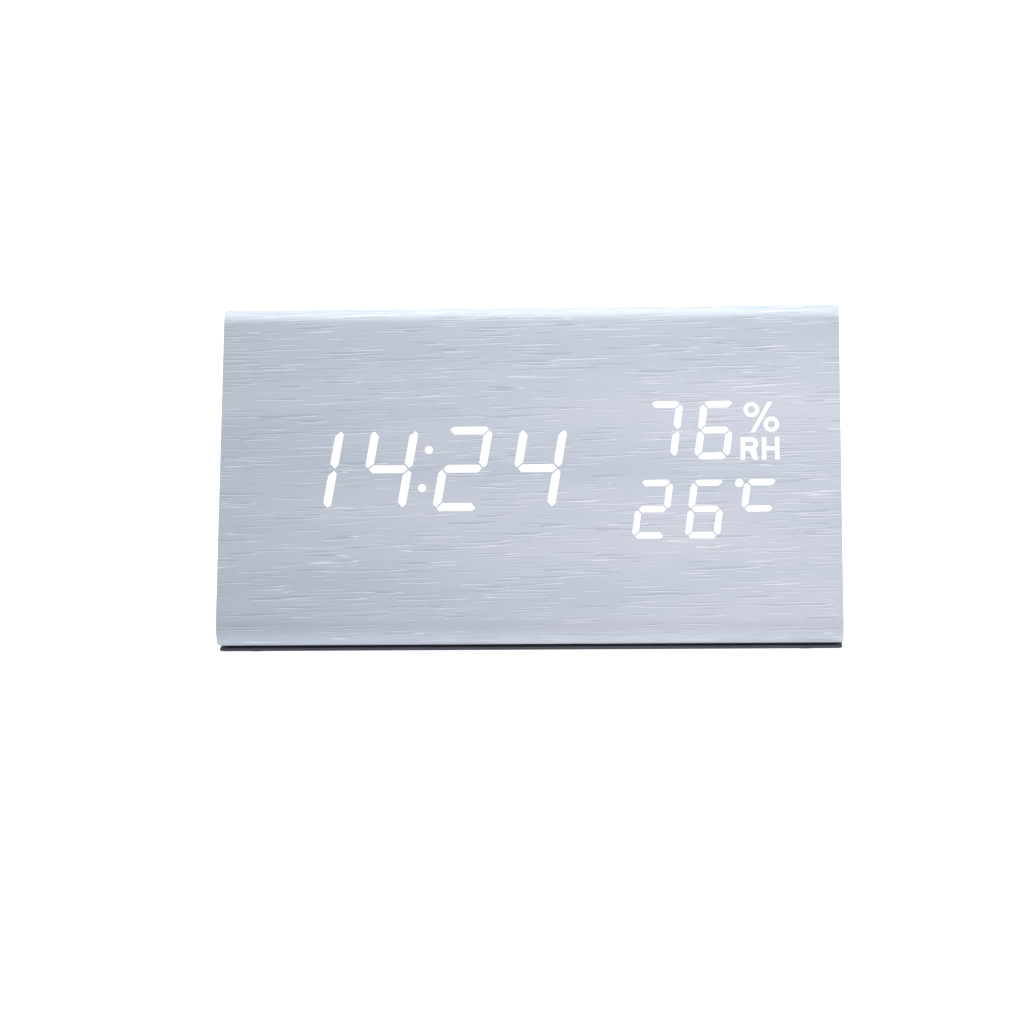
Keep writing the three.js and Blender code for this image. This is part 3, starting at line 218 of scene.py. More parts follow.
class FinishColours(bpy.types.PropertyGroup):
    """Colours of the finishes"""
    veneer_pale: colour("Pale veneer", "Pale bands of the veneer", 0.580, 0.625, 0.714)
    veneer_deep: colour("Deep veneer", "Deep bands of the veneer", 0.511, 0.565, 0.658)
    # painted shade: darkens the veneer's pores; the fibreboard core's flecks use it too
    pore: colour("Pores", "Bottom of the veneer's pores", 0.30, 0.335, 0.42)
    # painted highlight: the pale lower lip of each veneer pore stands in for light from above
    limed: colour("Limed edge", "Pale lower lip of the veneer's pores", 0.80, 0.83, 0.89)
    core: colour("Core", "Fibreboard core", 0.50, 0.53, 0.58)
    base_plastic: colour("Base plastic", "Base plate and battery door", 0.050, 0.056, 0.080)
    # also painted shade on the walls of the base's shadow gap
    panel_plastic: colour("Panel plastic", "Rear panel and buttons", 0.013, 0.013, 0.015)
    rubber: colour("Rubber", "Feet", 0.016, 0.016, 0.018)
    light: colour("Light", "Lit characters", 1.0, 1.0, 1.0)
    mark: colour("Marks", "Moulded marks on the rear panel", 0.42, 0.44, 0.47)
    board: colour("Board", "Solder mask of the circuit boards", 0.012, 0.100, 0.042)
    trace: colour("Traces", "Copper lines under the solder mask", 0.030, 0.190, 0.075)
    steel: colour("Steel", "Screws, contacts and switches", 0.48, 0.50, 0.53)
    nickel: colour("Nickel", "Plated pieces", 0.66, 0.65, 0.60)
    sensor: colour("Sensor", "Shell of the climate sensor", 0.11, 0.24, 0.45)
    ivory: colour("Ivory", "Connectors", 0.79, 0.75, 0.65)
    ribbon: colour("Ribbon", "Flat cable", 0.32, 0.35, 0.39)
    ribbon_edge: colour("Ribbon edge", "First wire of the flat cable", 0.40, 0.04, 0.03)
    cell_wrap: colour("Cell wrap", "Wrapper of the battery cells", 0.060, 0.070, 0.090)
    cell_band: colour("Cell band", "Band around the battery cells", 0.33, 0.42, 0.50)
    red_wire: colour("Red wire", "Insulation of the red lead", 0.45, 0.02, 0.01)
    black_wire: colour("Black wire", "Insulation of the black lead", 0.012, 0.012, 0.013)
    floor: colour("Floor", "Studio floor", 0.30, 0.30, 0.31)


class StudioSettings(bpy.types.PropertyGroup):
    """Camera and lights"""
    camera_place: FloatVectorProperty(
        name="Camera place", description="Where the camera stands", size=3, unit="LENGTH",
        default=(45.864 * MM, -964.022 * MM, 167.664 * MM))
    camera_yaw: lean("Camera yaw", "Turn of the camera to the left", 3.0419)
    camera_pitch: lean("Camera pitch", "Turn of the camera upwards", -8.1388)
    camera_roll: lean("Camera roll", "Roll of the camera", 0.8409)
    camera_lens: number("Lens", "Focal length in millimetres", 139.070)
    camera_sensor: number("Sensor", "Width of the camera's sensor in millimetres", 36)
    ambient: number("Ambient", "Strength of the room's soft light", 0.05)
    ambient_colour: colour("Ambient colour", "Colour of the room's soft light", 0.90, 0.95, 1.0)
    backdrop: number("Backdrop", "Brightness of the bare backdrop", 1.05)
    floor_glow: number("Floor glow", "Light that the floor gives of itself", 0.78)
    floor_lift: number("Floor lift", "How much brighter the bare floor is seen", 0.3)
    top_power: number("Top light", "Power of the overhead soft box", 10.4, subtype="POWER")
    top_colour: colour("Top colour", "Colour of the overhead soft box", 0.95, 0.985, 1.0)
    key_power: number("Key light", "Power of the soft spot at the front right", 11.8, subtype="POWER")
    key_colour: colour("Key colour", "Colour of the soft spot", 1.0, 0.88, 0.82)
    key_angle: lean("Key angle", "Opening of the soft spot", 19.0)


def settings(name):
    """One of the clock's groups of settings"""
    return getattr(bpy.context.scene, f"clock_{name}")


# Mesh tools

def tidy(bm):
    """Merges doubles and points every face outwards"""
    bmesh.ops.remove_doubles(bm, verts=bm.verts, dist=WELD)
    bmesh.ops.dissolve_degenerate(bm, dist=WELD, edges=bm.edges)
    bmesh.ops.recalc_face_normals(bm, faces=bm.faces)


def outline(bm, *stretches):
    """A closed loop of edges in the X-Y plane through points and arcs, where an arc is a centre, a radius
    and its first and last angle"""
    loop = []
    for stretch in stretches:
        if len(stretch) == 2:
            loop.append(bm.verts.new((*stretch, 0)))
            continue
        (x, y), radius, start, end = stretch
        first = bm.verts.new((x + radius * math.cos(start), y + radius * math.sin(start), 0))
        known = len(bm.verts)
        bmesh.ops.spin(bm, geom=[first], cent=(x, y, 0), axis=UP, angle=end - start, steps=ARC_STEPS,
                       use_merge=False)
        bm.verts.ensure_lookup_table()
        loop += [first, *bm.verts[known:]]
    pairs = zip(loop, loop[1:] + loop[:1])
    return [bm.edges.get(pair) or bm.edges.new(pair) for pair in pairs]


def faced(bm, edges):
    """The flat face inside a loop of edges"""
    return bmesh.ops.contextual_create(bm, geom=edges)["faces"]


def extrude(bm, faces, shift):
    """Carries faces along a shift, with walls behind them"""
    made = bmesh.ops.extrude_face_region(bm, geom=faces)["geom"]
    verts = [item for item in made if isinstance(item, bmesh.types.BMVert)]
    bmesh.ops.translate(bm, verts=verts, vec=shift)
    bmesh.ops.recalc_face_normals(bm, faces=bm.faces)


def bevelled(bm, geom, width, steps, affect):
    """Rounds vertices or edges"""
    bmesh.ops.bevel(bm, geom=geom, offset=width, offset_type="OFFSET", segments=steps, profile=0.5,
                    affect=affect, material=-1)


def rounded(bm, corners, width, steps=CORNER_STEPS):
    """Rounds corners of a flat outline"""
    bevelled(bm, corners, width, steps, "VERTICES")


def soften(bm, edges, width, steps=SOFT_STEPS):
    """Rounds edges of a solid"""
    bevelled(bm, edges, width, steps, "EDGES")


def rim(bm, direction):
    """The edges between the faces that look along a direction and those that don't"""
    bm.normal_update()
    edges = [edge for edge in bm.edges if len(edge.link_faces) == 2]
    return [edge for edge in edges
            if len({face.normal.dot(direction) > FACES_ALONG for face in edge.link_faces}) == 2]


def plate(width, height, low, high, x=0.0, y=0.0, radius=0.0):
    """A flat block with rounded corners, between two heights"""
    bm = bmesh.new()
    bmesh.ops.create_grid(bm, x_segments=1, y_segments=1, size=0.5)
    bmesh.ops.scale(bm, vec=(width, height, 1), verts=bm.verts)
    bmesh.ops.translate(bm, vec=(x, y, low), verts=bm.verts)
    if radius > 0:
        rounded(bm, bm.verts[:], radius)
    extrude(bm, bm.faces[:], (0, 0, high - low))
    return bm


def turned(profile, steps=ROUND_STEPS):
    """A round body about +Z from corners listed along its outline, each a radius and a height, with a
    rounding where it has one"""
    bm = bmesh.new()
    corners = [bm.verts.new((corner[0], 0, corner[1])) for corner in profile]
    for pair in zip(corners, corners[1:]):
        bm.edges.new(pair)
    for vert, corner in zip(corners, profile):
        if len(corner) == 3:
            rounded(bm, [vert], corner[2], SOFT_STEPS)
    bmesh.ops.spin(bm, geom=bm.verts[:] + bm.edges[:], cent=(0, 0, 0), axis=UP, angle=2 * math.pi,
                   steps=steps, use_merge=True)
    tidy(bm)
    return bm


def round_rod(radius, low, high):
    """A plain rod about +Z"""
    return turned([(0, low), (radius, low), (radius, high), (0, high)], ROD_STEPS)


def flared_hole(radius, widening, flare, face, end):
    """What a round hole takes out between a face and its end, wider at the face over a flare's height"""
    way = math.copysign(1, face - end)
    wide = radius + widening
    past = face + way * CUT_PAST
    neck = face - way * flare
    return turned([(0, end), (radius, end), (radius, neck), (wide, face), (wide, past), (0, past)])


def moved(bm, matrix):
    """The same shape carried to another place"""
    bmesh.ops.transform(bm, matrix=matrix, verts=bm.verts)
    return bm


def at(x=0.0, y=0.0, z=0.0):
    """A shift"""
    return Matrix.Translation((x, y, z))


def turn(angle, axis="Z"):
    """A turn about an axis"""
    return Matrix.Rotation(angle, 4, axis)


def as_mesh(bm, name):
    """A mesh from a shape, which is used up"""
    mesh = bpy.data.meshes.new(name)
    bm.to_mesh(mesh)
    bm.free()
    return mesh


def shown(name, data):
    """An object in the scene"""
    made = bpy.data.objects.new(name, data)
    bpy.context.scene.collection.objects.link(made)
    return made


def gathered(*shapes):
    """Several separate shapes as one"""
    whole = bmesh.new()
    for shape in shapes:
        mesh = as_mesh(shape, "part")
        whole.from_mesh(mesh)
        bpy.data.meshes.remove(mesh)
    return whole


def combined(bm, tool, operation):
    """One shape cut by another or joined to it"""
    solids = []
    for shape in (bm, tool):
        tidy(shape)
        solids.append(shown("solid", as_mesh(shape, "solid")))
    cut = solids[0].modifiers.new("carve", "BOOLEAN")
    cut.object = solids[1]
    cut.operation = operation
    cut.solver = "EXACT"
    result = bmesh.new()
    result.from_object(solids[0], bpy.context.evaluated_depsgraph_get())
    for solid in solids:
        mesh = solid.data
        bpy.data.objects.remove(solid)
        bpy.data.meshes.remove(mesh)
    tidy(result)
    if not result.faces:
        raise RuntimeError("nothing is left of a carved piece")
    return result


def carved(bm, *tools):
    """A shape with others cut out of it"""
    for tool in tools:
        bm = combined(bm, tool, "DIFFERENCE")
    return bm


def joined(bm, *others):
    """Overlapping shapes as one solid"""
    for other in others:
        bm = combined(bm, other, "UNION")
    return bm


def piece(name, bm, node, body="case", finishes=None, in_place=True):
    """A finished piece that rides on a body. It takes a CAD node's slot and, if in_place, stands for it"""
    tidy(bm)
    mesh = as_mesh(bm, name)
    mesh.shade_smooth()
    mesh.set_sharp_from_angle(angle=SHARP_ANGLE)
    slot = SLOT_OF_NODE[node]
    for finish in finishes or [finish_of(slot)]:
        mesh.materials.append(finish)
    made = shown(name, mesh)
    made.modifiers.new("even shading", "WEIGHTED_NORMAL").keep_sharp = True
    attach(made, body)
    if in_place:
        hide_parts(node)
    return made


def middles_of(start):
    """Middles of the CAD nodes whose names start alike, by name"""
    boxes = {name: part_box(name) for name in frame["nodes"] if name.startswith(start)}
    return {name: (low + high) / 2 for name, (low, high) in boxes.items()}


# The case section and its two flanks

def wall_thickness():
    """Thickness of the case's wall with its wrap"""
    sizes = settings("case")
    return sizes.veneer + GLUE_GAP + sizes.core


def flank_lean():
    """Lean of the two flanks from upright"""
    radius = settings("case").corner_radius
    return math.atan2(CASE_DEPTH / 2 - radius, CASE_TOP - CASE_BOTTOM - 2 * radius)


def flank(about=0.0):
    """A flank's own frame: X to the right of one who looks at it, Y up its slope, Z out of it"""
    radius = settings("case").corner_radius
    angle = flank_lean()
    middle_y = -((CASE_DEPTH / 2 - radius) / 2 + radius * math.cos(angle))
    middle_z = (CASE_BOTTOM + CASE_TOP) / 2 + radius * math.sin(angle)
    return turn(about) @ at(0, middle_y, middle_z) @ turn(QUARTER - angle, "X")


def display_frame():
    """The frame of the display in the front"""
    return flank() @ at(0, settings("display").rise)


def panel_frame():
    """The frame of the rear panel, in the middle of its front"""
    return flank(math.pi) @ at(0, PANEL_RISE, -settings("controls").panel_recess)


def case_loop(bm, inset, radius, x):
    """A loop of edges around the case section, drawn in by an inset, at one place along the case"""
    corner = settings("case").corner_radius
    angle = flank_lean()
    slack = corner - inset - radius
    low_z = CASE_BOTTOM + inset + radius
    low_y = CASE_DEPTH / 2 - corner
    low_y += (slack - math.sin(angle) * (low_z - CASE_BOTTOM - corner)) / math.cos(angle)
    top_z = CASE_TOP - corner + slack / math.sin(angle)
    edges = outline(
        bm,
        ((low_y, low_z), radius, -QUARTER, angle),
        ((0, top_z), radius, angle, math.pi - angle),
        ((-low_y, low_z), radius, math.pi - angle, 3 * QUARTER),
    )
    across = Matrix(((0, 0, 1, x), (1, 0, 0, 0), (0, 1, 0, 0), (0, 0, 0, 1)))
    bmesh.ops.transform(bm, matrix=across, verts=list({vert for edge in edges for vert in edge.verts}))
    return edges


def case_tube(outer, inner):
    """A tube along the case between two insets, each with its corner radius, with softened end rims"""
    bm = bmesh.new()
    edges = case_loop(bm, *outer, -CASE_WIDTH / 2) + case_loop(bm, *inner, -CASE_WIDTH / 2)
    ring = bmesh.ops.bridge_loops(bm, edges=edges)["faces"]
    extrude(bm, ring, (CASE_WIDTH, 0, 0))
    for side in SIDES:
        soften(bm, rim(bm, side * ALONG), settings("case").rim_softening)
    return bm


def panel_width():
    """Width of the rear panel"""
    low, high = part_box("rear_panel")
    return high.x - low.x


def rear_pocket():
    """The pocket that the rear panel lies in"""
    sizes = settings("controls")
    grow = 2 * PANEL_GAP
    hole = plate(panel_width() + grow, sizes.panel_height + grow, -sizes.panel_thickness - SEAT_GAP,
                 sizes.panel_recess + CUT_PAST, radius=sizes.panel_corner + PANEL_GAP)
    return moved(hole, panel_frame())


def rear_window():
    """The window behind the rear panel, within the ledge that carries the panel"""
    sizes = settings("controls")
    ledge_x, ledge_y = 6 * MM, 1.5 * MM
    top = sizes.panel_recess
    hole = plate(panel_width() - 2 * ledge_x, sizes.panel_height - 2 * ledge_y,
                 top - wall_thickness() - CUT_PAST, top)
    return moved(hole, panel_frame())


def bay_size():
    """Inner length and width of the battery bay, which the door fits"""
    gap = settings("base").door_gap
    low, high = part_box("battery_door")
    return high.x - low.x - 2 * PIN_REACH + 2 * gap, 2 * (gap - low.y)


def bay_window():
    """The window in the case's floor that the battery bay passes through"""
    grow = 2 * (BAY_WALL + settings("base").door_gap)
    bay_length, bay_width = bay_size()
    top = CASE_BOTTOM + wall_thickness() + CUT_PAST
    return plate(bay_length + grow, bay_width + grow, CASE_BOTTOM - CUT_PAST, top)


def display_window():
    """The window behind the veneer that the display frame fits"""
    low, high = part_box("display_frame")
    gap = 2 * settings("base").door_gap
    depth = wall_thickness() - settings("case").veneer - SEAT_GAP
    height = (high.z - low.z - depth * math.sin(flank_lean())) / math.cos(flank_lean())
    hole = plate(high.x - low.x + gap, height + gap, -wall_thickness() - CUT_PAST, CUT_PAST)
    return moved(hole, display_frame())


def screw_hole(screw, face, end):
    """What a countersunk hole for a screw takes out"""
    head, shaft, sink = screw
    return flared_hole(shaft / 2 + DRILL_GAP, (head - shaft) / 2, sink, face, end)


def base_screw_holes():
    """The holes for the base screws"""
    low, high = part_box("base_screw_front_left")
    middles = middles_of("base_screw_").values()
    return gathered(*(moved(screw_hole(BASE_SCREW, low.z, high.z + DRILL_GAP), at(middle.x, middle.y))
                      for middle in middles))


def build_case():
    """The grained wrap and the wooden tube inside it"""
    sizes = settings("case")
    radius = sizes.corner_radius
    wrap = case_tube((0, radius), (sizes.veneer, radius - sizes.veneer))
    piece("veneer_skin", carved(wrap, rear_pocket(), bay_window(), base_screw_holes()), "veneer_wrap")
    inset = sizes.veneer + GLUE_GAP
    tube = case_tube((inset, radius - inset), (wall_thickness(), INNER_RADIUS))
    tube = carved(tube, rear_pocket(), rear_window(), bay_window(), base_screw_holes(), display_window())
    piece("wooden_tube", tube, "wood_shell")


def build_end_boards():
    """The boards set into the ends of the tube"""
    finish = veneer_finish("end veneer", QUARTER)
    for side, name in zip(SIDES, ("left", "right")):
        low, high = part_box(f"end_panel_{name}")
        bm = bmesh.new()
        edges = case_loop(bm, wall_thickness() + END_GAP, INNER_RADIUS, low.x)
        extrude(bm, faced(bm, edges), (high.x - low.x, 0, 0))
        soften(bm, rim(bm, side * ALONG), settings("case").end_softening)
        piece(f"end_board_{name}", bm, f"end_panel_{name}", finishes=[finish])


# The lit characters, drawn flat in the display's own frame

def pointed_bar(bm, reach, low, high):
    """A bar along X with pointed tips; low and high are its widths on each side of the line of its tips"""
    corners = [(-reach, 0), (low - reach, -low), (reach - low, -low),
               (reach, 0), (reach - high, high), (high - reach, high)]
    return bm.faces.new([bm.verts.new((*corner, 0)) for corner in corners])


def leaning(slant, x, y):
    """A place on the face where what is drawn leans to the right"""
    return Matrix(((1, math.tan(slant), 0, x), (0, 1, 0, y), (0, 0, 1, 0), (0, 0, 0, 1)))


def lit_digit(bm, character, place, width, rise, stroke, slant):
    """One character of bars, which lie a little inside the line of their tips"""
    tip_gap = 0.3 * MM
    inward = 0.13
    for bar in LIT_BARS[character]:
        across = bar in ACROSS_ROW
        side, row = (0, 2 * ACROSS_ROW[bar]) if across else UPRIGHT_PLACE[bar]
        shift = (ACROSS_ROW[bar] if across else -side) * inward
        reach = (width if across else rise) / 2 - tip_gap
        face = pointed_bar(bm, reach, stroke * (0.5 + shift), stroke * (0.5 - shift))
        spot = at(side * width / 2, row * rise / 2) @ turn(0 if across else QUARTER)
        bmesh.ops.transform(bm, matrix=leaning(slant, *place) @ spot, verts=face.verts)


def lit_dot(bm, x, y, diameter):
    """A round dot"""
    bmesh.ops.create_circle(bm, cap_ends=True, radius=diameter / 2, segments=ROUND_STEPS, matrix=at(x, y))


def flat_ring(bm, x, y, outer, inner):
    """A flat ring"""
    edges = []
    for radius in (outer, inner):
        circle = bmesh.ops.create_circle(bm, radius=radius, segments=ROUND_STEPS, matrix=at(x, y))["verts"]
        edges += list({edge for vert in circle for edge in vert.link_edges})
    bmesh.ops.bridge_loops(bm, edges=edges)


def lit_percent(bm, x, y):
    """The percent sign, two rings beside a leaning bar"""
    ring_x, ring_y = 2.4 * MM, 1.88 * MM
    outer, inner = 1.87 * MM, 0.93 * MM
    stroke, height, slant = 1.06 * MM, 7.67 * MM, math.radians(28.7)
    for side in SIDES:
        flat_ring(bm, x - side * ring_x, y + side * ring_y, outer, inner)
    bar = bmesh.ops.create_grid(bm, x_segments=1, y_segments=1, size=0.5)["verts"]
    bmesh.ops.scale(bm, vec=(stroke, height, 1), verts=bar)
    bmesh.ops.transform(bm, matrix=leaning(slant, x, y), verts=bar)


def lit_letters(bm, x, y):
    """The two letters of relative humidity, on each side of a place"""
    height, width, gap, stroke = 5.6 * MM, 4.2 * MM, 0.9 * MM, 1.05 * MM
    leg, foot, bowl_start = 2.3 * MM, 1.15 * MM, math.radians(-50)
    low, high = y - height / 2, y + height / 2
    left = x - gap / 2 - width
    stem = left + stroke
    right = left + width
    bowl = (height - leg) / 2
    eye = bowl - stroke
    middle = (right - bowl, high - bowl)
    letter = outline(
        bm,
        (left, low), (stem, low), (stem, low + leg), (middle[0] - stroke / 2, low + leg),
        (right - foot, low), (right, low), (middle, bowl, bowl_start, QUARTER), (left, high),
    )
    letter += outline(
        bm, (stem, middle[1] + eye), (stem, middle[1] - eye), (middle, eye, -QUARTER, QUARTER))
    bmesh.ops.triangle_fill(bm, edges=letter, use_beauty=True)
    left = right + gap
    right = left + width
    stem, far_stem = left + stroke, right - stroke
    bar_low, bar_high = y - stroke / 2, y + stroke / 2
    faced(bm, outline(
        bm,
        (left, low), (stem, low), (stem, bar_low), (far_stem, bar_low), (far_stem, low), (right, low),
        (right, high), (far_stem, high), (far_stem, bar_high), (stem, bar_high), (stem, high), (left, high),
    ))


def draw_time(bm, sizes):
    """Hours, colon and minutes"""
    x, y = sizes.time_middle, sizes.time_row
    near, far = sizes.time_offset, sizes.time_offset + sizes.time_pitch
    for character, offset in (("1", -far), ("4", -near), ("2", near), ("4", far)):
        lit_digit(bm, character, (x + offset, y), sizes.time_width, sizes.time_rise, sizes.time_stroke,
                  sizes.time_slant)
    for side in SIDES:
        off = side * sizes.colon_spacing / 2
        lit_dot(bm, x + off * math.tan(sizes.time_slant), y + off, sizes.colon_dot)


def draw_row(bm, sizes, characters, row, stroke):
    """A row of small characters, and the place of the last one"""
    for column, character in enumerate(characters):
        x = sizes.small_first + column * sizes.small_pitch + row * math.tan(sizes.small_slant)
        lit_digit(bm, character, (x, row), sizes.small_width, sizes.small_rise, stroke, sizes.small_slant)
    return x, row


def draw_humidity(bm, sizes):
    """The humidity with its unit"""
    unit_offset, percent_rise = 11.15 * MM, 3.2 * MM
    letter_offset, letter_drop = -0.4 * MM, 4.7 * MM
    x, y = draw_row(bm, sizes, "76", sizes.humidity_row, sizes.humidity_stroke)
    lit_percent(bm, x + unit_offset, y + percent_rise)
    lit_letters(bm, x + unit_offset + letter_offset, y - letter_drop)


def draw_temperature(bm, sizes):
    """The temperature with its unit"""
    dot_x, dot_y = -4.57 * MM, 6.38 * MM
    x, y = draw_row(bm, sizes, "26C", sizes.temperature_row, sizes.temperature_stroke)
    lit_dot(bm, x + dot_x, y + dot_y, sizes.degree_dot)


def raised_sheet(bm, proud, thickness):
    """A flat drawing made a sheet that stands a little proud of its plane"""
    bmesh.ops.translate(bm, vec=(0, 0, proud), verts=bm.verts)
    extrude(bm, bm.faces[:], (0, 0, -thickness))


def build_lit_characters():
    """The lit characters, a thin layer in the veneer"""
    proud, thickness = 0.02 * MM, 0.3 * MM
    for name, draw in (("time", draw_time), ("humidity", draw_humidity), ("temperature", draw_temperature)):
        bm = bmesh.new()
        draw(bm, settings("display"))
        raised_sheet(bm, proud, thickness)
        piece(f"lit_{name}", moved(bm, display_frame()), f"{name}_light_guide")


# The base, its door and its feet

def hinge_rod(diameter, rod_length):
    """A rod along the door's hinge"""
    rod = round_rod(diameter / 2, -rod_length / 2, rod_length / 2)
    return moved(rod, at(*HINGE) @ turn(QUARTER, "Y"))


def build_base():
    """The base plate with its battery bay; its upright walls above the edge take the darker black plastic as
    painted shade in the shadow gap
    """
    sizes = settings("base")
    low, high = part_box("base_plate")
    size = high - low
    edge_top = low.z + sizes.edge_height
    inside = low.z + sizes.softening
    below = low.z - CUT_PAST
    bay_length, bay_width = bay_size()
    edge = plate(size.x, size.y, low.z, edge_top, radius=sizes.corner_radius)
    for way in SIDES:
        soften(edge, rim(edge, way * UP), sizes.softening)
    back_off = 2 * sizes.shadow_gap
    raised = plate(size.x - back_off, size.y - back_off, inside, CASE_BOTTOM - SEAT_GAP,
                   radius=sizes.corner_radius)
    bay = plate(bay_length + 2 * BAY_WALL, bay_width + 2 * BAY_WALL, inside, high.z, radius=BAY_WALL)
    soften(bay, rim(bay, UP), sizes.softening)
    door_low, door_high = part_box("battery_door")
    pin_length = door_high.x - door_low.x + 2 * PIN_GAP
    notch_top = low.z + sizes.notch_depth
    notch_y = -(bay_width + sizes.notch_reach) / 2
    bite_y = notch_y + sizes.notch_reach / 4 + sizes.door_gap / 2
    hollows = [
        plate(bay_length, bay_width, below, high.z - BAY_ROOF),
        hinge_rod(HINGE_PIN + 2 * PIN_GAP, pin_length),
        plate(sizes.notch_width, sizes.notch_reach, below, notch_top, 0, notch_y, sizes.notch_reach / 3),
        plate(sizes.notch_width, sizes.notch_reach / 2, below, notch_top, 0, bite_y),
    ]
    for name, middle in middles_of("rubber_foot_").items():
        foot_low, foot_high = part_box(name)
        radius = (foot_high.x - foot_low.x) / 2 + sizes.door_gap
        seat = flared_hole(radius, sizes.softening, sizes.softening, low.z, low.z + FOOT_RECESS)
        hollows.append(moved(seat, at(middle.x, middle.y)))
    base = carved(joined(edge, raised, bay), *hollows, base_screw_holes())
    finishes = [finish_of("dark_plastic"), finish_of("black_plastic")]
    tray = piece("base_tray", base, "base_plate", finishes=finishes)
    # painted shade: upright faces above the visible edge, such as the walls of the shadow gap, take the darker
    # black plastic
    for face in tray.data.polygons:
        upright = abs(face.normal.z) < 0.5
        if upright and face.center.z > edge_top:
            face.material_index = 1


def build_door():
    """The battery door with its hinge, latch and grip"""
    sizes = settings("base")
    latch_width, latch_thickness = 12 * MM, 1 * MM
    groove_width, groove_depth, groove_pitch, grip_edge = 0.5 * MM, 0.3 * MM, 1 * MM, 2.2 * MM
    groove_round = groove_width / 2.2
    low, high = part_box("battery_door")
    first_y = low.y + grip_edge
    hinge_y = HINGE[1]
    door_length = high.x - low.x - 2 * PIN_REACH
    top = low.z + sizes.door_thickness
    leaf = plate(door_length, hinge_y - low.y, low.z, top, 0, (hinge_y + low.y) / 2)
    free_edges = [edge for edge in leaf.edges if min(vert.co.y for vert in edge.verts) < hinge_y - MM]
    soften(leaf, free_edges, sizes.door_softening)
    latch = plate(latch_width, latch_thickness, top - sizes.door_thickness / 2, high.z,
                  0, low.y + latch_thickness / 2 + sizes.door_softening)
    soften(latch, rim(latch, UP), sizes.door_softening)
    door = joined(leaf, hinge_rod(sizes.door_thickness, door_length),
                  hinge_rod(HINGE_PIN, door_length + 2 * PIN_REACH), latch)
    grooves = [plate(sizes.notch_width, groove_width, low.z - CUT_PAST, low.z + groove_depth,
                     0, first_y + row * groove_pitch, groove_round) for row in range(sizes.grip_ribs)]
    piece("battery_hatch", carved(door, *grooves), "battery_door", "door")


def build_feet():
    """The four rubber feet, each with a ring that stands on the floor"""
    dish, edge = 0.15 * MM, 0.22 * MM
    dish_share, ring_share = 0.62, 0.7
    for name, middle in middles_of("rubber_foot_").items():
        low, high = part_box(name)
        radius = (high.x - low.x) / 2
        inside = low.z + dish
        foot = turned([
            (0, inside), (radius * dish_share, inside, dish), (radius * ring_share, low.z, dish),
            (radius, low.z, edge), (radius, high.z, edge / 2), (0, high.z),
        ])
        piece(name.replace("rubber_foot", "foot"), moved(foot, at(middle.x, middle.y)), name)


# Screws

def countersunk_screw(screw, full_length):
    """A countersunk screw with a cross recess; its head's top is at height 0 and its shaft runs down"""
    head, shaft, sink = screw
    edge = 0.12 * MM
    point_share, cross_length, cross_width, cross_depth = 0.3, 0.58, 0.13, 0.75
    narrowing = (0.45, 0.7, 1)
    body = turned([
        (0, -full_length), (shaft * point_share, -full_length), (shaft / 2, shaft / 2 - full_length),
        (shaft / 2, -sink), (head / 2, -edge), (head / 2 - edge / 2, 0), (0, 0),
    ])
    for angle in (0, QUARTER):
        bar = plate(head * cross_length, head * cross_width, -sink * cross_depth, CUT_PAST)
        bmesh.ops.scale(bar, vec=narrowing, verts=[vert for vert in bar.verts if vert.co.z < 0])
        body = carved(body, moved(bar, turn(angle)))
    return body


def build_screws():
    """The screws that show: four in the base and two in the rear panel"""
    base_turns = (0.35, 1.1, 0.8, 0.1)
    panel_turns = (0.55, 1.3)
    panel_screw_length = 4 * MM
    for angle, (name, middle) in zip(base_turns, middles_of("base_screw_").items()):
        low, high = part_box(name)
        place = at(middle.x, middle.y, low.z) @ turn(math.pi, "X") @ turn(angle)
        piece(f"countersunk_{name}", moved(countersunk_screw(BASE_SCREW, high.z - low.z), place), name)
    for angle, side, name in zip(panel_turns, SIDES, ("left", "right")):
        node = f"rear_panel_screw_{name}"
        place = panel_frame() @ at(side * SCREW_X) @ turn(angle)
        piece(f"countersunk_{node}", moved(countersunk_screw(PANEL_SCREW, panel_screw_length), place), node)


# The rear panel and its controls

def button_places():
    """The buttons' names and places across the panel"""
    pitch = settings("controls").button_pitch
    return (("set", -pitch), ("up", 0.0), ("down", pitch))


def build_rear_panel():
    """The panel let into the back, with holes for controls, vents and screws, and posts for the board"""
    sizes = settings("controls")
    post_diameter = 5 * MM
    slot_round = sizes.vent_width / 2.05
    back = -sizes.panel_thickness
    end = back - CUT_PAST
    sheet = plate(panel_width(), sizes.panel_height, back, 0, radius=sizes.panel_corner)
    soften(sheet, rim(sheet, UP), sizes.panel_softening)
    for side in SIDES:
        post = round_rod(post_diameter / 2, BOARD_DEPTH, back + MM)
        sheet = joined(sheet, moved(post, at(side * POST_X)))
    holes = [(x, BUTTON_RISE, sizes.button_diameter + 2 * BUTTON_GAP) for _, x in button_places()]
    holes.append((*SOCKET_PLACE, sizes.socket_collar + 2 * BUTTON_GAP))
    holes.append((*SOUND_PLACE, sizes.sound_hole))
    for x, y, diameter in holes:
        hole = flared_hole(diameter / 2, sizes.mouth, sizes.mouth, 0, end)
        sheet = carved(sheet, moved(hole, at(x, y)))
    for row in range(sizes.vent_count):
        y = VENT_PLACE[1] + (row - (sizes.vent_count - 1) / 2) * sizes.vent_pitch
        slot = plate(sizes.vent_length, sizes.vent_width, end, CUT_PAST, VENT_PLACE[0], y, slot_round)
        sheet = carved(sheet, slot)
    for side in SIDES:
        sheet = carved(sheet, moved(screw_hole(PANEL_SCREW, 0, end), at(side * SCREW_X)))
    piece("control_panel", moved(sheet, panel_frame()), "rear_panel")


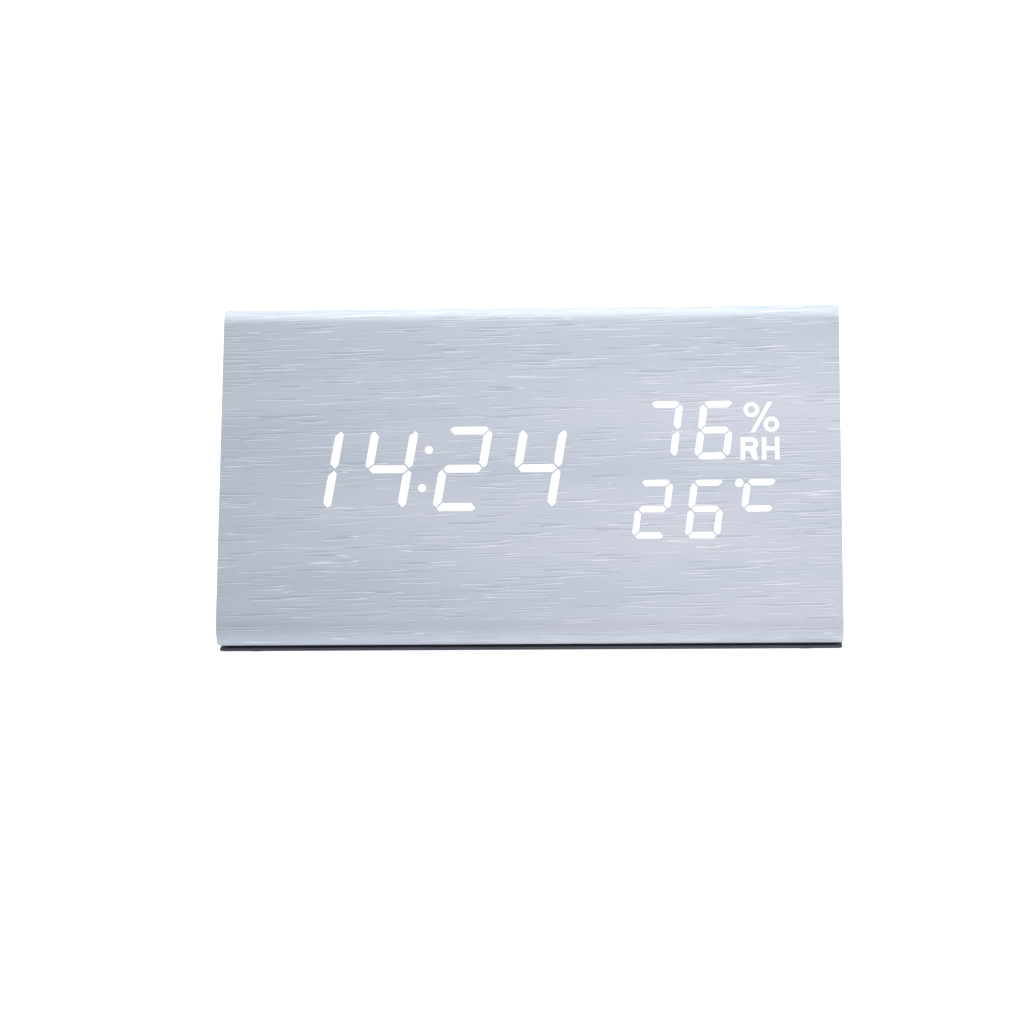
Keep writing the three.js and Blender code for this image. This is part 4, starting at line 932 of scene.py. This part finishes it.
def build_marks():
    """Plain signs above the buttons: a ring for setting, and triangles for up and down"""
    sizes = settings("controls")
    y = BUTTON_RISE + sizes.mark_rise
    half = sizes.mark_size / 2
    foot, tip = 0.8 * half, 0.9 * half
    for name, x in button_places():
        bm = bmesh.new()
        if name == "set":
            flat_ring(bm, x, y, half, half - sizes.mark_stroke)
        else:
            way = 1 if name == "up" else -1
            foot_y = y - way * foot
            corners = outline(bm, (x - half, foot_y), (x + half, foot_y), (x, y + way * tip))
            rounded(bm, list(faced(bm, corners)[0].verts), sizes.mark_stroke / 2)
        raised_sheet(bm, sizes.mark_proud, 2 * sizes.mark_proud)
        piece(f"{name}_mark", moved(bm, panel_frame()), "rear_panel", finishes=[finish_of("mark")],
              in_place=False)


def build_buttons():
    """The three buttons, each on its own moving body"""
    sizes = settings("controls")
    flange_reach, flange_thickness = 1 * MM, 1 * MM
    stem, stem_length = 1.5 * MM, 0.7 * MM
    crown_edge, lip_edge, dish_edge = 0.45 * MM, 0.3 * MM, 0.5 * MM
    lip_highlight_share, dish_share = 0.72, 0.35
    radius = sizes.button_diameter / 2
    flange = radius + flange_reach
    flange_top = -sizes.panel_thickness - BUTTON_GAP
    flange_low = flange_top - flange_thickness
    end = flange_low - stem_length
    crown = sizes.button_proud
    dish = crown - sizes.button_dish
    for name, x in button_places():
        cap = turned([
            (0, end), (stem, end), (stem, flange_low), (flange, flange_low), (flange, flange_top),
            (radius, flange_top), (radius, crown, crown_edge), (radius * lip_highlight_share, crown, lip_edge),
            (radius * dish_share, dish, dish_edge), (0, dish),
        ])
        place = panel_frame() @ at(x, BUTTON_RISE)
        piece(f"{name}_key_cap", moved(cap, place), f"{name}_button", f"{name}_key")


def build_power_inlet():
    """The round power inlet and its pin"""
    sizes = settings("controls")
    collar_shy, pin_shy = 0.3 * MM, 0.6 * MM
    shoulder_reach, floor_thickness = 1.1 * MM, 0.85 * MM
    edge, chamfer, tip_share = 0.2 * MM, 0.25 * MM, 0.6
    mouth = -collar_shy
    shoulder = -sizes.panel_thickness - BUTTON_GAP
    width = sizes.socket_collar + 2 * shoulder_reach
    collar = sizes.socket_collar / 2
    pin = sizes.socket_pin / 2
    place = panel_frame() @ at(*SOCKET_PLACE)
    neck = turned([(0, shoulder - edge), (collar, shoulder - edge), (collar, mouth, edge), (0, mouth)])
    body = joined(plate(width, width, BOARD_DEPTH, shoulder), neck)
    bore = flared_hole(sizes.socket_bore / 2, chamfer, chamfer, mouth, BOARD_DEPTH + floor_thickness)
    pin_hole = round_rod(pin + DRILL_GAP, BOARD_DEPTH - CUT_PAST, mouth)
    piece("power_inlet", moved(carved(body, bore, pin_hole), place), "power_socket")
    tip = mouth - pin_shy
    rod = turned([(0, BOARD_DEPTH), (pin, BOARD_DEPTH), (pin, tip, pin * tip_share), (0, tip)], ROD_STEPS)
    piece("power_inlet_pin", moved(rod, place), "power_socket_pin")


# The battery cells and their contacts

def build_cells():
    """The four battery cells, in plain two-tone wrappers"""
    nub_radius, nub_height, nub_edge = 1.9 * MM, 1 * MM, 0.25 * MM
    band_width, wrap_edge, wrap_round = 9 * MM, 0.75 * MM, 0.5 * MM
    film, groove, soft = 0.05 * MM, 0.1 * MM, 0.2 * MM
    dimple, dimple_share, ring_share = 0.3 * MM, 0.55, 0.68
    finishes = [finish_of("cell_wrap"), finish_of("cell_band"), finish_of("bright_metal")]
    for name, middle in middles_of("battery_cell_").items():
        low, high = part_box(name)
        radius = (high.z - low.z) / 2
        bare = radius - wrap_edge
        cell_length = high.x - low.x
        shoulder = cell_length - nub_height
        bm = turned([
            (0, dimple), (radius * dimple_share, dimple, soft), (radius * ring_share, 0, soft), (bare, 0),
            (bare, film), (radius, film, wrap_round), (radius, shoulder, wrap_round), (bare, shoulder),
            (bare, shoulder - groove), (nub_radius, shoulder - groove, soft),
            (nub_radius, cell_length, nub_edge), (0, cell_length),
        ])
        for face in bm.faces:
            place = face.calc_center_median()
            in_band = shoulder - band_width < place.z < shoulder
            face.material_index = 2 if math.hypot(place.x, place.y) < bare else int(in_band)
        way = 1 if "front" in name else -1
        start = low.x if way > 0 else high.x
        cell = moved(bm, at(start, middle.y, middle.z) @ turn(way * QUARTER, "Y"))
        piece(name.replace("battery_cell", "cell"), cell, name, finishes=finishes)


def conical_spring():
    """A spring that narrows along +X"""
    base_radius, tip_radius, wire, spring_length = 3.3 * MM, 1.9 * MM, 0.7 * MM, 5 * MM
    turns, steps = 3.5, 98
    curve = bpy.data.curves.new("spring", "CURVE")
    curve.dimensions = "3D"
    curve.bevel_depth = wire / 2
    curve.bevel_resolution = 3
    curve.use_fill_caps = True
    line = curve.splines.new("POLY")
    line.points.add(steps)
    for step, point in enumerate(line.points):
        part = step / steps
        radius = base_radius + (tip_radius - base_radius) * part
        angle = part * turns * 2 * math.pi
        along = wire / 2 + (spring_length - wire) * part
        point.co = (along, radius * math.cos(angle), radius * math.sin(angle), 1)
    holder = bpy.data.objects.new("spring", curve)
    mesh = bpy.data.meshes.new_from_object(holder)
    bm = bmesh.new()
    bm.from_mesh(mesh)
    bpy.data.meshes.remove(mesh)
    bpy.data.objects.remove(holder)
    bpy.data.curves.remove(curve)
    return bm


def leaf_plate(low_x, high_x, middle_y, width, low_z, high_z):
    """A thin upright contact plate with softened edges"""
    soft_share, steps = 0.2, 2
    bm = plate(high_x - low_x, width, low_z, high_z, (low_x + high_x) / 2, middle_y)
    soften(bm, bm.edges[:], (high_x - low_x) * soft_share, steps)
    return bm


def build_contacts():
    """The sprung and plain contacts at the ends of the battery bay"""
    plate_width, tab_width = 9 * MM, 2 * MM
    low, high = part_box("positive_contact")
    row = (low.y + high.y) / 2
    foot, top, axis_z = low.z, low.z + plate_width, low.z + plate_width / 2
    for name, y in (("negative", -row), ("positive", row)):
        parts = [leaf_plate(low.x, high.x, y, plate_width, foot, top),
                 leaf_plate(low.x, high.x, y, tab_width, axis_z, high.z)]
        if name == "negative":
            parts.append(moved(conical_spring(), at(high.x, y, axis_z)))
        piece(f"{name}_leaf", gathered(*parts), f"{name}_contact")
    near, far = -high.x, -low.x
    parts = [leaf_plate(near, far, side * row, plate_width, foot, top) for side in SIDES]
    parts.append(leaf_plate(near, far, 0, 2 * row, axis_z - tab_width, axis_z + tab_width))
    parts.append(moved(conical_spring(), at(near, row, axis_z) @ turn(math.pi)))
    piece("bridge_leaf", gathered(*parts), "bridge_contact")


def dress_inner_parts():
    """Gives every CAD node its finish"""
    for name, node in frame["nodes"].items():
        node.data.materials.clear()
        node.data.materials.append(finish_of(SLOT_OF_NODE[name]))


# Node tools

def add(tree, kind, inputs=None, **traits):
    """A node with its settings, its inputs set to values or linked from sockets"""
    made = tree.nodes.new(kind)
    for key, value in traits.items():
        setattr(made, key, value)
    for key, value in (inputs or {}).items():
        if isinstance(value, bpy.types.NodeSocket):
            tree.links.new(value, made.inputs[key])
        else:
            made.inputs[key].default_value = value
    return made


def linked(tree, sockets, **values):
    """Links values to the sockets that bear their names"""
    for name, value in values.items():
        tree.links.new(value, sockets[name.replace("_", " ")])


def maths(tree, operation, first, second=0.0):
    """The result of a sum on two values"""
    return add(tree, "ShaderNodeMath", {0: first, 1: second}, operation=operation).outputs[0]


def times(tree, first, second):
    """The product of two values"""
    return maths(tree, "MULTIPLY", first, second)


def vectors(tree, operation, first, second):
    """The result of a sum on two vectors"""
    return add(tree, "ShaderNodeVectorMath", {0: first, 1: second}, operation=operation).outputs[0]


def step_up(tree, value, low, high, most=1.0):
    """A value that rises smoothly from nothing to its most between two limits"""
    inputs = {"Value": value, "From Min": low, "From Max": high, "To Max": most}
    return add(tree, "ShaderNodeMapRange", inputs, interpolation_type="SMOOTHSTEP").outputs["Result"]


def spread(tree, value, start, end):
    """A value between nothing and all, spread between two ends"""
    inputs = {"Value": value, "To Min": start, "To Max": end}
    return add(tree, "ShaderNodeMapRange", inputs).outputs["Result"]


def blended(tree, part, first, second):
    """A colour between two"""
    return add(tree, "ShaderNodeMix", {0: part, 6: first, 7: second}, data_type="RGBA").outputs[2]


def noise(tree, vector, scale=1.0, detail=0.0, roughness=0.5):
    """The outputs of a soft noise"""
    inputs = {"Vector": vector, "Scale": scale, "Detail": detail, "Roughness": roughness}
    return add(tree, "ShaderNodeTexNoise", inputs).outputs


def stretched_noise(tree, vector, stretch, detail, roughness=0.5):
    """A soft noise that is finer along some axes"""
    stretched = vectors(tree, "MULTIPLY", vector, stretch)
    return noise(tree, stretched, detail=detail, roughness=roughness)["Fac"]


def object_place(tree):
    """Object coordinates"""
    return add(tree, "ShaderNodeTexCoord").outputs["Object"]


def bump(tree, height, distance):
    """A normal from a height"""
    return add(tree, "ShaderNodeBump", {"Height": height, "Distance": distance}).outputs["Normal"]


# Node groups, each built at its first use

def streaked_grain(tree, given):
    """Streaked wood grain along X: pores, the lower lip of each pore as the mask of a painted highlight, fine
    fibre and broad bands
    """
    slow, fine, broad = (22, 45, 45), (190, 3600, 3600), (9, 60, 60)
    # the painted highlight lies this far below each pore
    highlight_drop, pore_edge, pore_detail = (0.0, 0.0, 0.38), 0.05, 0.6
    drift = noise(tree, vectors(tree, "MULTIPLY", given["Vector"], slow), detail=1.0)["Color"]
    centred = vectors(tree, "SUBTRACT", drift, (0.5, 0.5, 0.5))
    sway = add(tree, "ShaderNodeVectorMath", {0: centred, "Scale": given["Sway"]}, operation="SCALE")
    swayed = vectors(tree, "ADD", given["Vector"], sway.outputs[0])
    streaks = vectors(tree, "MULTIPLY", swayed, given["Streaks"])
    lowered = vectors(tree, "ADD", streaks, highlight_drop)
    most = maths(tree, "ADD", given["Least"], pore_edge)
    pore, highlight_echo = (step_up(tree, noise(tree, place, detail=pore_detail)["Fac"], given["Least"], most)
                  for place in (streaks, lowered))
    return {
        "Pore": pore,
        "Lip": times(tree, highlight_echo, maths(tree, "SUBTRACT", 1.0, pore)),
        "Fibre": stretched_noise(tree, swayed, fine, detail=2.0, roughness=0.6),
        "Band": stretched_noise(tree, given["Vector"], broad, detail=2.0, roughness=0.55),
    }


def moulded_skin(tree, given):
    """The fine skin of moulded plastic and rubber: a height and a slow drift of tone"""
    return {
        "Height": noise(tree, given["Vector"], given["Grain"], detail=2.0, roughness=0.6)["Fac"],
        "Tone": noise(tree, given["Vector"], given["Drift"], detail=3.0, roughness=0.55)["Fac"],
    }


def drawn_metal(tree, given):
    """Fine drawn lines of metal along X, and a slow drift of tone"""
    cloud_scale = 240.0
    return {
        "Line": stretched_noise(tree, given["Vector"], given["Lines"], detail=2.0),
        "Tone": noise(tree, given["Vector"], cloud_scale, detail=2.0)["Fac"],
    }


GROUPS = {
    "Streaked grain": (streaked_grain, {"Streaks": (80, 2500, 2500), "Sway": 0.42 * MM, "Least": 0.61}),
    "Moulded skin": (moulded_skin, {"Grain": 4200.0, "Drift": 90.0}),
    "Drawn metal": (drawn_metal, {"Lines": (300, 9000, 9000)}),
}


def built_group(name):
    """A shader node group with named sockets"""
    fill, inputs = GROUPS[name]
    tree = bpy.data.node_groups.new(name, "ShaderNodeTree")
    for socket, default in {"Vector": (0, 0, 0), **inputs}.items():
        kind = "NodeSocketVector" if isinstance(default, tuple) else "NodeSocketFloat"
        tree.interface.new_socket(socket, in_out="INPUT", socket_type=kind).default_value = default
    made = fill(tree, tree.nodes.new("NodeGroupInput").outputs)
    for socket in made:
        tree.interface.new_socket(socket, in_out="OUTPUT", socket_type="NodeSocketFloat")
    linked(tree, tree.nodes.new("NodeGroupOutput").inputs, **made)
    return tree


def placed_group(tree, name, **inputs):
    """A node group placed in a material"""
    node_tree = bpy.data.node_groups.get(name) or built_group(name)
    return add(tree, "ShaderNodeGroup", inputs, node_tree=node_tree).outputs


# Finishes

def new_material(name, **constants):
    """An empty material with its shader, whose constant sockets are set"""
    material = bpy.data.materials.new(name)
    material.use_nodes = True
    shader = material.node_tree.nodes["Principled BSDF"]
    for socket, value in constants.items():
        shader.inputs[socket.replace("_", " ")].default_value = value
    return material, material.node_tree, shader.inputs


def tint(name, strength=1.0):
    """A finish colour with its opacity, made lighter or darker by a strength"""
    parts = getattr(settings("colours"), name)
    return (*(min(1.0, part * strength) for part in parts), 1.0)


def veneer_finish(name, about=0.0):
    """Pale wood grain with fine embossed pores, its streaks turned about Z; the pores are darkened with painted
    shade and the lower lip of each is lightened with a painted highlight
    """
    tilt, band_limits, fibre_gloss = 0.02, (0.3, 0.7), (0.40, 0.62)
    pore_shade_share, lip_highlight_share, fibre_height, pore_depth = 0.32, 0.85, 0.12, 0.03 * MM
    material, tree, shader = new_material(
        name, Specular_IOR_Level=0.35, Coat_Weight=0.3, Coat_Roughness=0.34)
    place = add(tree, "ShaderNodeMapping", {"Vector": object_place(tree), "Rotation": (0, tilt, about)})
    grain = placed_group(tree, "Streaked grain", Vector=place.outputs["Vector"])
    bands = step_up(tree, grain["Band"], *band_limits)
    base = blended(tree, bands, tint("veneer_deep"), tint("veneer_pale"))
    # painted shade: the pores darkened
    pore_shaded = blended(tree, times(tree, grain["Pore"], pore_shade_share), base, tint("pore"))
    # painted highlight: the lower lip of each pore made paler, as if lit from above
    limed = blended(tree, times(tree, grain["Lip"], lip_highlight_share), pore_shaded, tint("limed"))
    height = maths(tree, "SUBTRACT", times(tree, grain["Fibre"], fibre_height), grain["Pore"])
    linked(tree, shader, Base_Color=limed, Roughness=spread(tree, grain["Fibre"], *fibre_gloss),
           Normal=bump(tree, height, pore_depth))
    return material


def core_finish(name):
    """Sealed fibreboard: fine pressed fibres"""
    fibre_stretch, fibre_depth = (900, 1500, 1500), 0.05 * MM
    fleck_limits, fleck_share = (0.62, 0.75), 0.35
    material, tree, shader = new_material(name, Roughness=0.72)
    place = object_place(tree)
    fibres = stretched_noise(tree, place, fibre_stretch, detail=3.0, roughness=0.65)
    skin = placed_group(tree, "Moulded skin", Vector=place, Grain=2600.0, Drift=60.0)
    pale = blended(tree, skin["Tone"], tint("core"), tint("veneer_pale"))
    flecked = blended(tree, step_up(tree, fibres, *fleck_limits, fleck_share), pale, tint("pore"))
    linked(tree, shader, Base_Color=flecked, Normal=bump(tree, fibres, fibre_depth))
    return material


def moulded_finish(name, colour_name, least, most, lift=0.35, height=0.02 * MM, grain=4200.0):
    """Moulded plastic or rubber with a fine skin"""
    cloud_limits = (0.35, 0.7)
    material, tree, shader = new_material(name)
    skin = placed_group(tree, "Moulded skin", Vector=object_place(tree), Grain=grain)
    clouds = step_up(tree, skin["Tone"], *cloud_limits)
    toned = blended(tree, clouds, tint(colour_name), tint(colour_name, 1 + lift))
    linked(tree, shader, Base_Color=toned, Roughness=spread(tree, skin["Tone"], least, most),
           Normal=bump(tree, skin["Height"], height))
    return material


def metal_finish(name, colour_name, least, most, lines):
    """Drawn or plated metal"""
    shade, line_depth = 0.82, 0.006 * MM
    material, tree, shader = new_material(name, Metallic=1.0)
    drawn = placed_group(tree, "Drawn metal", Vector=object_place(tree), Lines=lines)
    toned = blended(tree, drawn["Tone"], tint(colour_name, shade), tint(colour_name))
    linked(tree, shader, Base_Color=toned, Roughness=spread(tree, drawn["Line"], least, most),
           Normal=bump(tree, drawn["Line"], line_depth))
    return material


def light_finish(name):
    """Lit characters: an even white glow with the faintest cloud of the diffuser"""
    cloud_scale, cool_red, cool_green, unlit = 500.0, 0.97, 0.985, 0.8
    material, tree, shader = new_material(name, Roughness=0.5, Emission_Strength=0.95)
    cloud = noise(tree, object_place(tree), cloud_scale, detail=1.0)["Fac"]
    white = tint("light")
    cool = (white[0] * cool_red, white[1] * cool_green, white[2], 1.0)
    glow = blended(tree, cloud, white, cool)
    linked(tree, shader, Emission_Color=glow, Base_Color=blended(tree, unlit, glow, (0, 0, 0, 1)))
    return material


def board_finish(name):
    """Solder mask over copper lines, with a fine weave"""
    line_depth, cloud_share, gloss = 0.03 * MM, 0.5, (0.28, 0.46)
    material, tree, shader = new_material(name, Coat_Weight=0.3)
    place = object_place(tree)
    bricks = {"Vector": place, "Scale": 150.0, "Mortar Size": 0.035}
    lines = add(tree, "ShaderNodeTexBrick", bricks, offset=0.37).outputs["Fac"]
    skin = placed_group(tree, "Moulded skin", Vector=place, Grain=3000.0, Drift=140.0)
    green = blended(tree, times(tree, skin["Tone"], cloud_share), tint("board"), tint("trace"))
    linked(tree, shader, Base_Color=blended(tree, lines, green, tint("trace")),
           Roughness=spread(tree, skin["Tone"], *gloss), Normal=bump(tree, lines, line_depth))
    return material


def ribbon_finish(name):
    """Flat cable: parallel wires with painted shade in the grooves between them, the first one marked"""
    pitch, wire_share, shade, ridge_height = 1.27 * MM, 0.8, 0.7, 0.2 * MM
    material, tree, shader = new_material(name, Roughness=0.5)
    first_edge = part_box("ribbon_cable")[0].x + pitch * wire_share
    across = add(tree, "ShaderNodeSeparateXYZ", {0: object_place(tree)}).outputs["X"]
    ridge = maths(tree, "ABSOLUTE", maths(tree, "SINE", times(tree, across, math.pi / pitch)))
    skin = placed_group(tree, "Moulded skin", Vector=object_place(tree), Drift=120.0)
    # painted shade: the cable is darker between the wires
    wires = blended(tree, times(tree, ridge, skin["Tone"]), tint("ribbon", shade), tint("ribbon"))
    marked = blended(tree, maths(tree, "LESS_THAN", across, first_edge), wires, tint("ribbon_edge"))
    linked(tree, shader, Base_Color=marked, Normal=bump(tree, ridge, ridge_height))
    return material


# Each finish's maker with its colour and its least and most roughness, and what else the maker takes
FINISHES = {
    "wood_core": (core_finish,),
    "wood_veneer": (veneer_finish,),
    "dark_plastic": (moulded_finish, "base_plastic", 0.42, 0.6),
    "black_plastic": (moulded_finish, "panel_plastic", 0.4, 0.58),
    "foot_rubber": (moulded_finish, "rubber", 0.75, 0.95, 0.35, 0.03 * MM, 2600.0),
    "display_light": (light_finish,),
    "circuit_board": (board_finish,),
    "steel": (metal_finish, "steel", 0.24, 0.42, (300, 9000, 9000)),
    "bright_metal": (metal_finish, "nickel", 0.14, 0.28, (4000, 4000, 4000)),
    "sensor_shell": (moulded_finish, "sensor", 0.5, 0.65, 0.15),
    "connector_plastic": (moulded_finish, "ivory", 0.5, 0.62, 0.08),
    "ribbon": (ribbon_finish,),
    "cell_wrap": (moulded_finish, "cell_wrap", 0.26, 0.4, 0.35, 0.004 * MM),
    "cell_band": (moulded_finish, "cell_band", 0.3, 0.42, 0.15, 0.004 * MM),
    "red_wire": (moulded_finish, "red_wire", 0.4, 0.55, 0.35, 0.01 * MM),
    "black_wire": (moulded_finish, "black_wire", 0.4, 0.55, 0.35, 0.01 * MM),
    "mark": (moulded_finish, "mark", 0.45, 0.6, 0.12),
}


def finish_of(slot):
    """A finish, built once"""
    name = f"finish_{slot}"
    make, *traits = FINISHES[slot]
    return bpy.data.materials.get(name) or make(name, *traits)


# The stage

def hang_light(light, power, hue, place, target):
    """Hangs a light and turns it to its target"""
    light.energy = power
    light.color = hue
    lamp = shown(light.name, light)
    lamp.location = place
    aim = Vector(target) - Vector(place)
    lamp.rotation_euler = aim.to_track_quat("-Z", "Y").to_euler()


def build_lights():
    """A wide soft box overhead and a soft warm spot from the front right"""
    studio = settings("studio")
    top_place, top_aim = (0.0, 0.08, 0.8), (0, 0, CASE_TOP / 2)
    key_place, key_aim = (0.35, -0.8, 0.3), (0.05, 0, CASE_TOP * 0.55)
    top = bpy.data.lights.new("top_light", "AREA")
    top.shape = "RECTANGLE"
    top.size = 1.1
    top.size_y = 0.7
    hang_light(top, studio.top_power, studio.top_colour, top_place, top_aim)
    key = bpy.data.lights.new("key_light", "SPOT")
    key.spot_size = studio.key_angle
    key.spot_blend = 1.0
    key.shadow_soft_size = 0.08
    hang_light(key, studio.key_power, studio.key_colour, key_place, key_aim)


def build_world():
    """Soft light from all round, in front of a white backdrop"""
    studio = settings("studio")
    world = bpy.data.worlds.new("studio")
    world.use_nodes = True
    tree = world.node_tree
    glows = (((*studio.ambient_colour, 1), studio.ambient), ((1, 1, 1, 1), studio.backdrop))
    room, backdrop = (add(tree, "ShaderNodeBackground", {"Color": hue, "Strength": strength}).outputs[0]
                      for hue, strength in glows)
    path = add(tree, "ShaderNodeLightPath").outputs
    seen = maths(tree, "MAXIMUM", path["Is Camera Ray"], path["Is Glossy Ray"])
    both = add(tree, "ShaderNodeMixShader", {0: seen, 1: room, 2: backdrop})
    linked(tree, tree.nodes["World Output"].inputs, Surface=both.outputs[0])
    bpy.context.scene.world = world


def build_floor():
    """A plain pale floor with a light of its own, as a light table has"""
    studio = settings("studio")
    half_width, squares = 4.0, 8
    bm = bmesh.new()
    bmesh.ops.create_grid(bm, x_segments=squares, y_segments=squares, size=half_width)
    material, tree, _ = new_material("studio_floor", Roughness=0.9, Base_Color=tint("floor"))
    seen = add(tree, "ShaderNodeLightPath").outputs["Is Camera Ray"]
    glow = maths(tree, "ADD", times(tree, seen, studio.floor_lift), studio.floor_glow)
    light = add(tree, "ShaderNodeEmission", {"Strength": glow}).outputs[0]
    surface = tree.nodes["Principled BSDF"].outputs[0]
    lit = add(tree, "ShaderNodeAddShader", {0: surface, 1: light}).outputs[0]
    linked(tree, tree.nodes["Material Output"].inputs, Surface=lit)
    floor = shown("studio_floor", as_mesh(bm, "studio_floor"))
    floor.data.materials.append(material)


def build_camera():
    """The camera, where the photographer stood"""
    studio = settings("studio")
    data = bpy.data.cameras.new("camera")
    data.lens = studio.camera_lens
    data.sensor_width = studio.camera_sensor
    data.clip_start = 10 * MM
    camera = shown("camera", data)
    aim = turn(studio.camera_yaw) @ turn(studio.camera_pitch, "X") @ turn(studio.camera_roll, "Y")
    camera.matrix_world = at(*studio.camera_place) @ aim @ turn(QUARTER, "X")
    bpy.context.scene.camera = camera


# Operators and panel

class CLOCK_OT_stage(bpy.types.Operator):
    """Sets up the camera, the floor and the lights"""
    bl_idname = "clock.stage"
    bl_label = "Stage"

    def execute(self, context):
        build_camera()
        build_world()
        build_floor()
        build_lights()
        context.scene.view_settings.view_transform = "Standard"
        return {"FINISHED"}


class CLOCK_OT_inner_parts(bpy.types.Operator):
    """Gives the inner parts their finishes"""
    bl_idname = "clock.inner_parts"
    bl_label = "Inner parts"

    def execute(self, context):
        dress_inner_parts()
        return {"FINISHED"}


class CLOCK_OT_case(bpy.types.Operator):
    """Models the grained wrap and the wooden tube"""
    bl_idname = "clock.case"
    bl_label = "Case"

    def execute(self, context):
        build_case()
        return {"FINISHED"}


class CLOCK_OT_end_boards(bpy.types.Operator):
    """Models the boards in the ends of the case"""
    bl_idname = "clock.end_boards"
    bl_label = "End boards"

    def execute(self, context):
        build_end_boards()
        return {"FINISHED"}


class CLOCK_OT_lit_characters(bpy.types.Operator):
    """Models the lit time, humidity and temperature"""
    bl_idname = "clock.lit_characters"
    bl_label = "Lit characters"

    def execute(self, context):
        build_lit_characters()
        return {"FINISHED"}


class CLOCK_OT_base(bpy.types.Operator):
    """Models the base plate with its battery bay"""
    bl_idname = "clock.base"
    bl_label = "Base"

    def execute(self, context):
        build_base()
        return {"FINISHED"}


class CLOCK_OT_door(bpy.types.Operator):
    """Models the battery door"""
    bl_idname = "clock.door"
    bl_label = "Battery door"

    def execute(self, context):
        build_door()
        return {"FINISHED"}


class CLOCK_OT_feet(bpy.types.Operator):
    """Models the rubber feet"""
    bl_idname = "clock.feet"
    bl_label = "Feet"

    def execute(self, context):
        build_feet()
        return {"FINISHED"}


class CLOCK_OT_screws(bpy.types.Operator):
    """Models the screws that show"""
    bl_idname = "clock.screws"
    bl_label = "Screws"

    def execute(self, context):
        build_screws()
        return {"FINISHED"}


class CLOCK_OT_rear_panel(bpy.types.Operator):
    """Models the rear panel"""
    bl_idname = "clock.rear_panel"
    bl_label = "Rear panel"

    def execute(self, context):
        build_rear_panel()
        return {"FINISHED"}


class CLOCK_OT_marks(bpy.types.Operator):
    """Models the signs above the buttons"""
    bl_idname = "clock.marks"
    bl_label = "Marks"

    def execute(self, context):
        build_marks()
        return {"FINISHED"}


class CLOCK_OT_buttons(bpy.types.Operator):
    """Models the buttons"""
    bl_idname = "clock.buttons"
    bl_label = "Buttons"

    def execute(self, context):
        build_buttons()
        return {"FINISHED"}


class CLOCK_OT_power_inlet(bpy.types.Operator):
    """Models the power inlet and its pin"""
    bl_idname = "clock.power_inlet"
    bl_label = "Power inlet"

    def execute(self, context):
        build_power_inlet()
        return {"FINISHED"}


class CLOCK_OT_cells(bpy.types.Operator):
    """Models the battery cells"""
    bl_idname = "clock.cells"
    bl_label = "Battery cells"

    def execute(self, context):
        build_cells()
        return {"FINISHED"}


class CLOCK_OT_contacts(bpy.types.Operator):
    """Models the contacts at the ends of the battery bay"""
    bl_idname = "clock.contacts"
    bl_label = "Battery contacts"

    def execute(self, context):
        build_contacts()
        return {"FINISHED"}


OPERATORS = (
    CLOCK_OT_stage, CLOCK_OT_inner_parts, CLOCK_OT_case, CLOCK_OT_end_boards, CLOCK_OT_lit_characters,
    CLOCK_OT_base, CLOCK_OT_door, CLOCK_OT_feet, CLOCK_OT_screws, CLOCK_OT_rear_panel, CLOCK_OT_marks,
    CLOCK_OT_buttons, CLOCK_OT_power_inlet, CLOCK_OT_cells, CLOCK_OT_contacts,
)
SETTINGS = {
    "clock_case": CaseSizes,
    "clock_display": DisplaySizes,
    "clock_base": BaseSizes,
    "clock_controls": ControlSizes,
    "clock_colours": FinishColours,
    "clock_studio": StudioSettings,
}


class CLOCK_PT_sidebar(bpy.types.Panel):
    """The clock's steps and settings"""
    bl_label = "Clock"
    bl_idname = "CLOCK_PT_sidebar"
    bl_space_type = "VIEW_3D"
    bl_region_type = "UI"
    bl_category = "Clock"

    def draw(self, context):
        for operator in OPERATORS:
            self.layout.operator(operator.bl_idname)
        for name, kind in SETTINGS.items():
            box = self.layout.box()
            box.label(text=kind.__doc__)
            for key in kind.__annotations__:
                box.prop(getattr(context.scene, name), key)


def register():
    """Registers the settings, operators and panel"""
    for name, kind in SETTINGS.items():
        bpy.utils.register_class(kind)
        setattr(bpy.types.Scene, name, PointerProperty(type=kind))
    for operator in (*OPERATORS, CLOCK_PT_sidebar):
        bpy.utils.register_class(operator)


def unregister():
    """Takes them out again"""
    for operator in (CLOCK_PT_sidebar, *reversed(OPERATORS)):
        bpy.utils.unregister_class(operator)
    for name, kind in reversed(SETTINGS.items()):
        delattr(bpy.types.Scene, name)
        bpy.utils.unregister_class(kind)


def main():
    """Builds the clock step by step"""
    register()
    for operator in OPERATORS:
        step = operator.bl_idname.split(".")[1]
        getattr(bpy.ops.clock, step)()


if __name__ == "__main__":
    main()
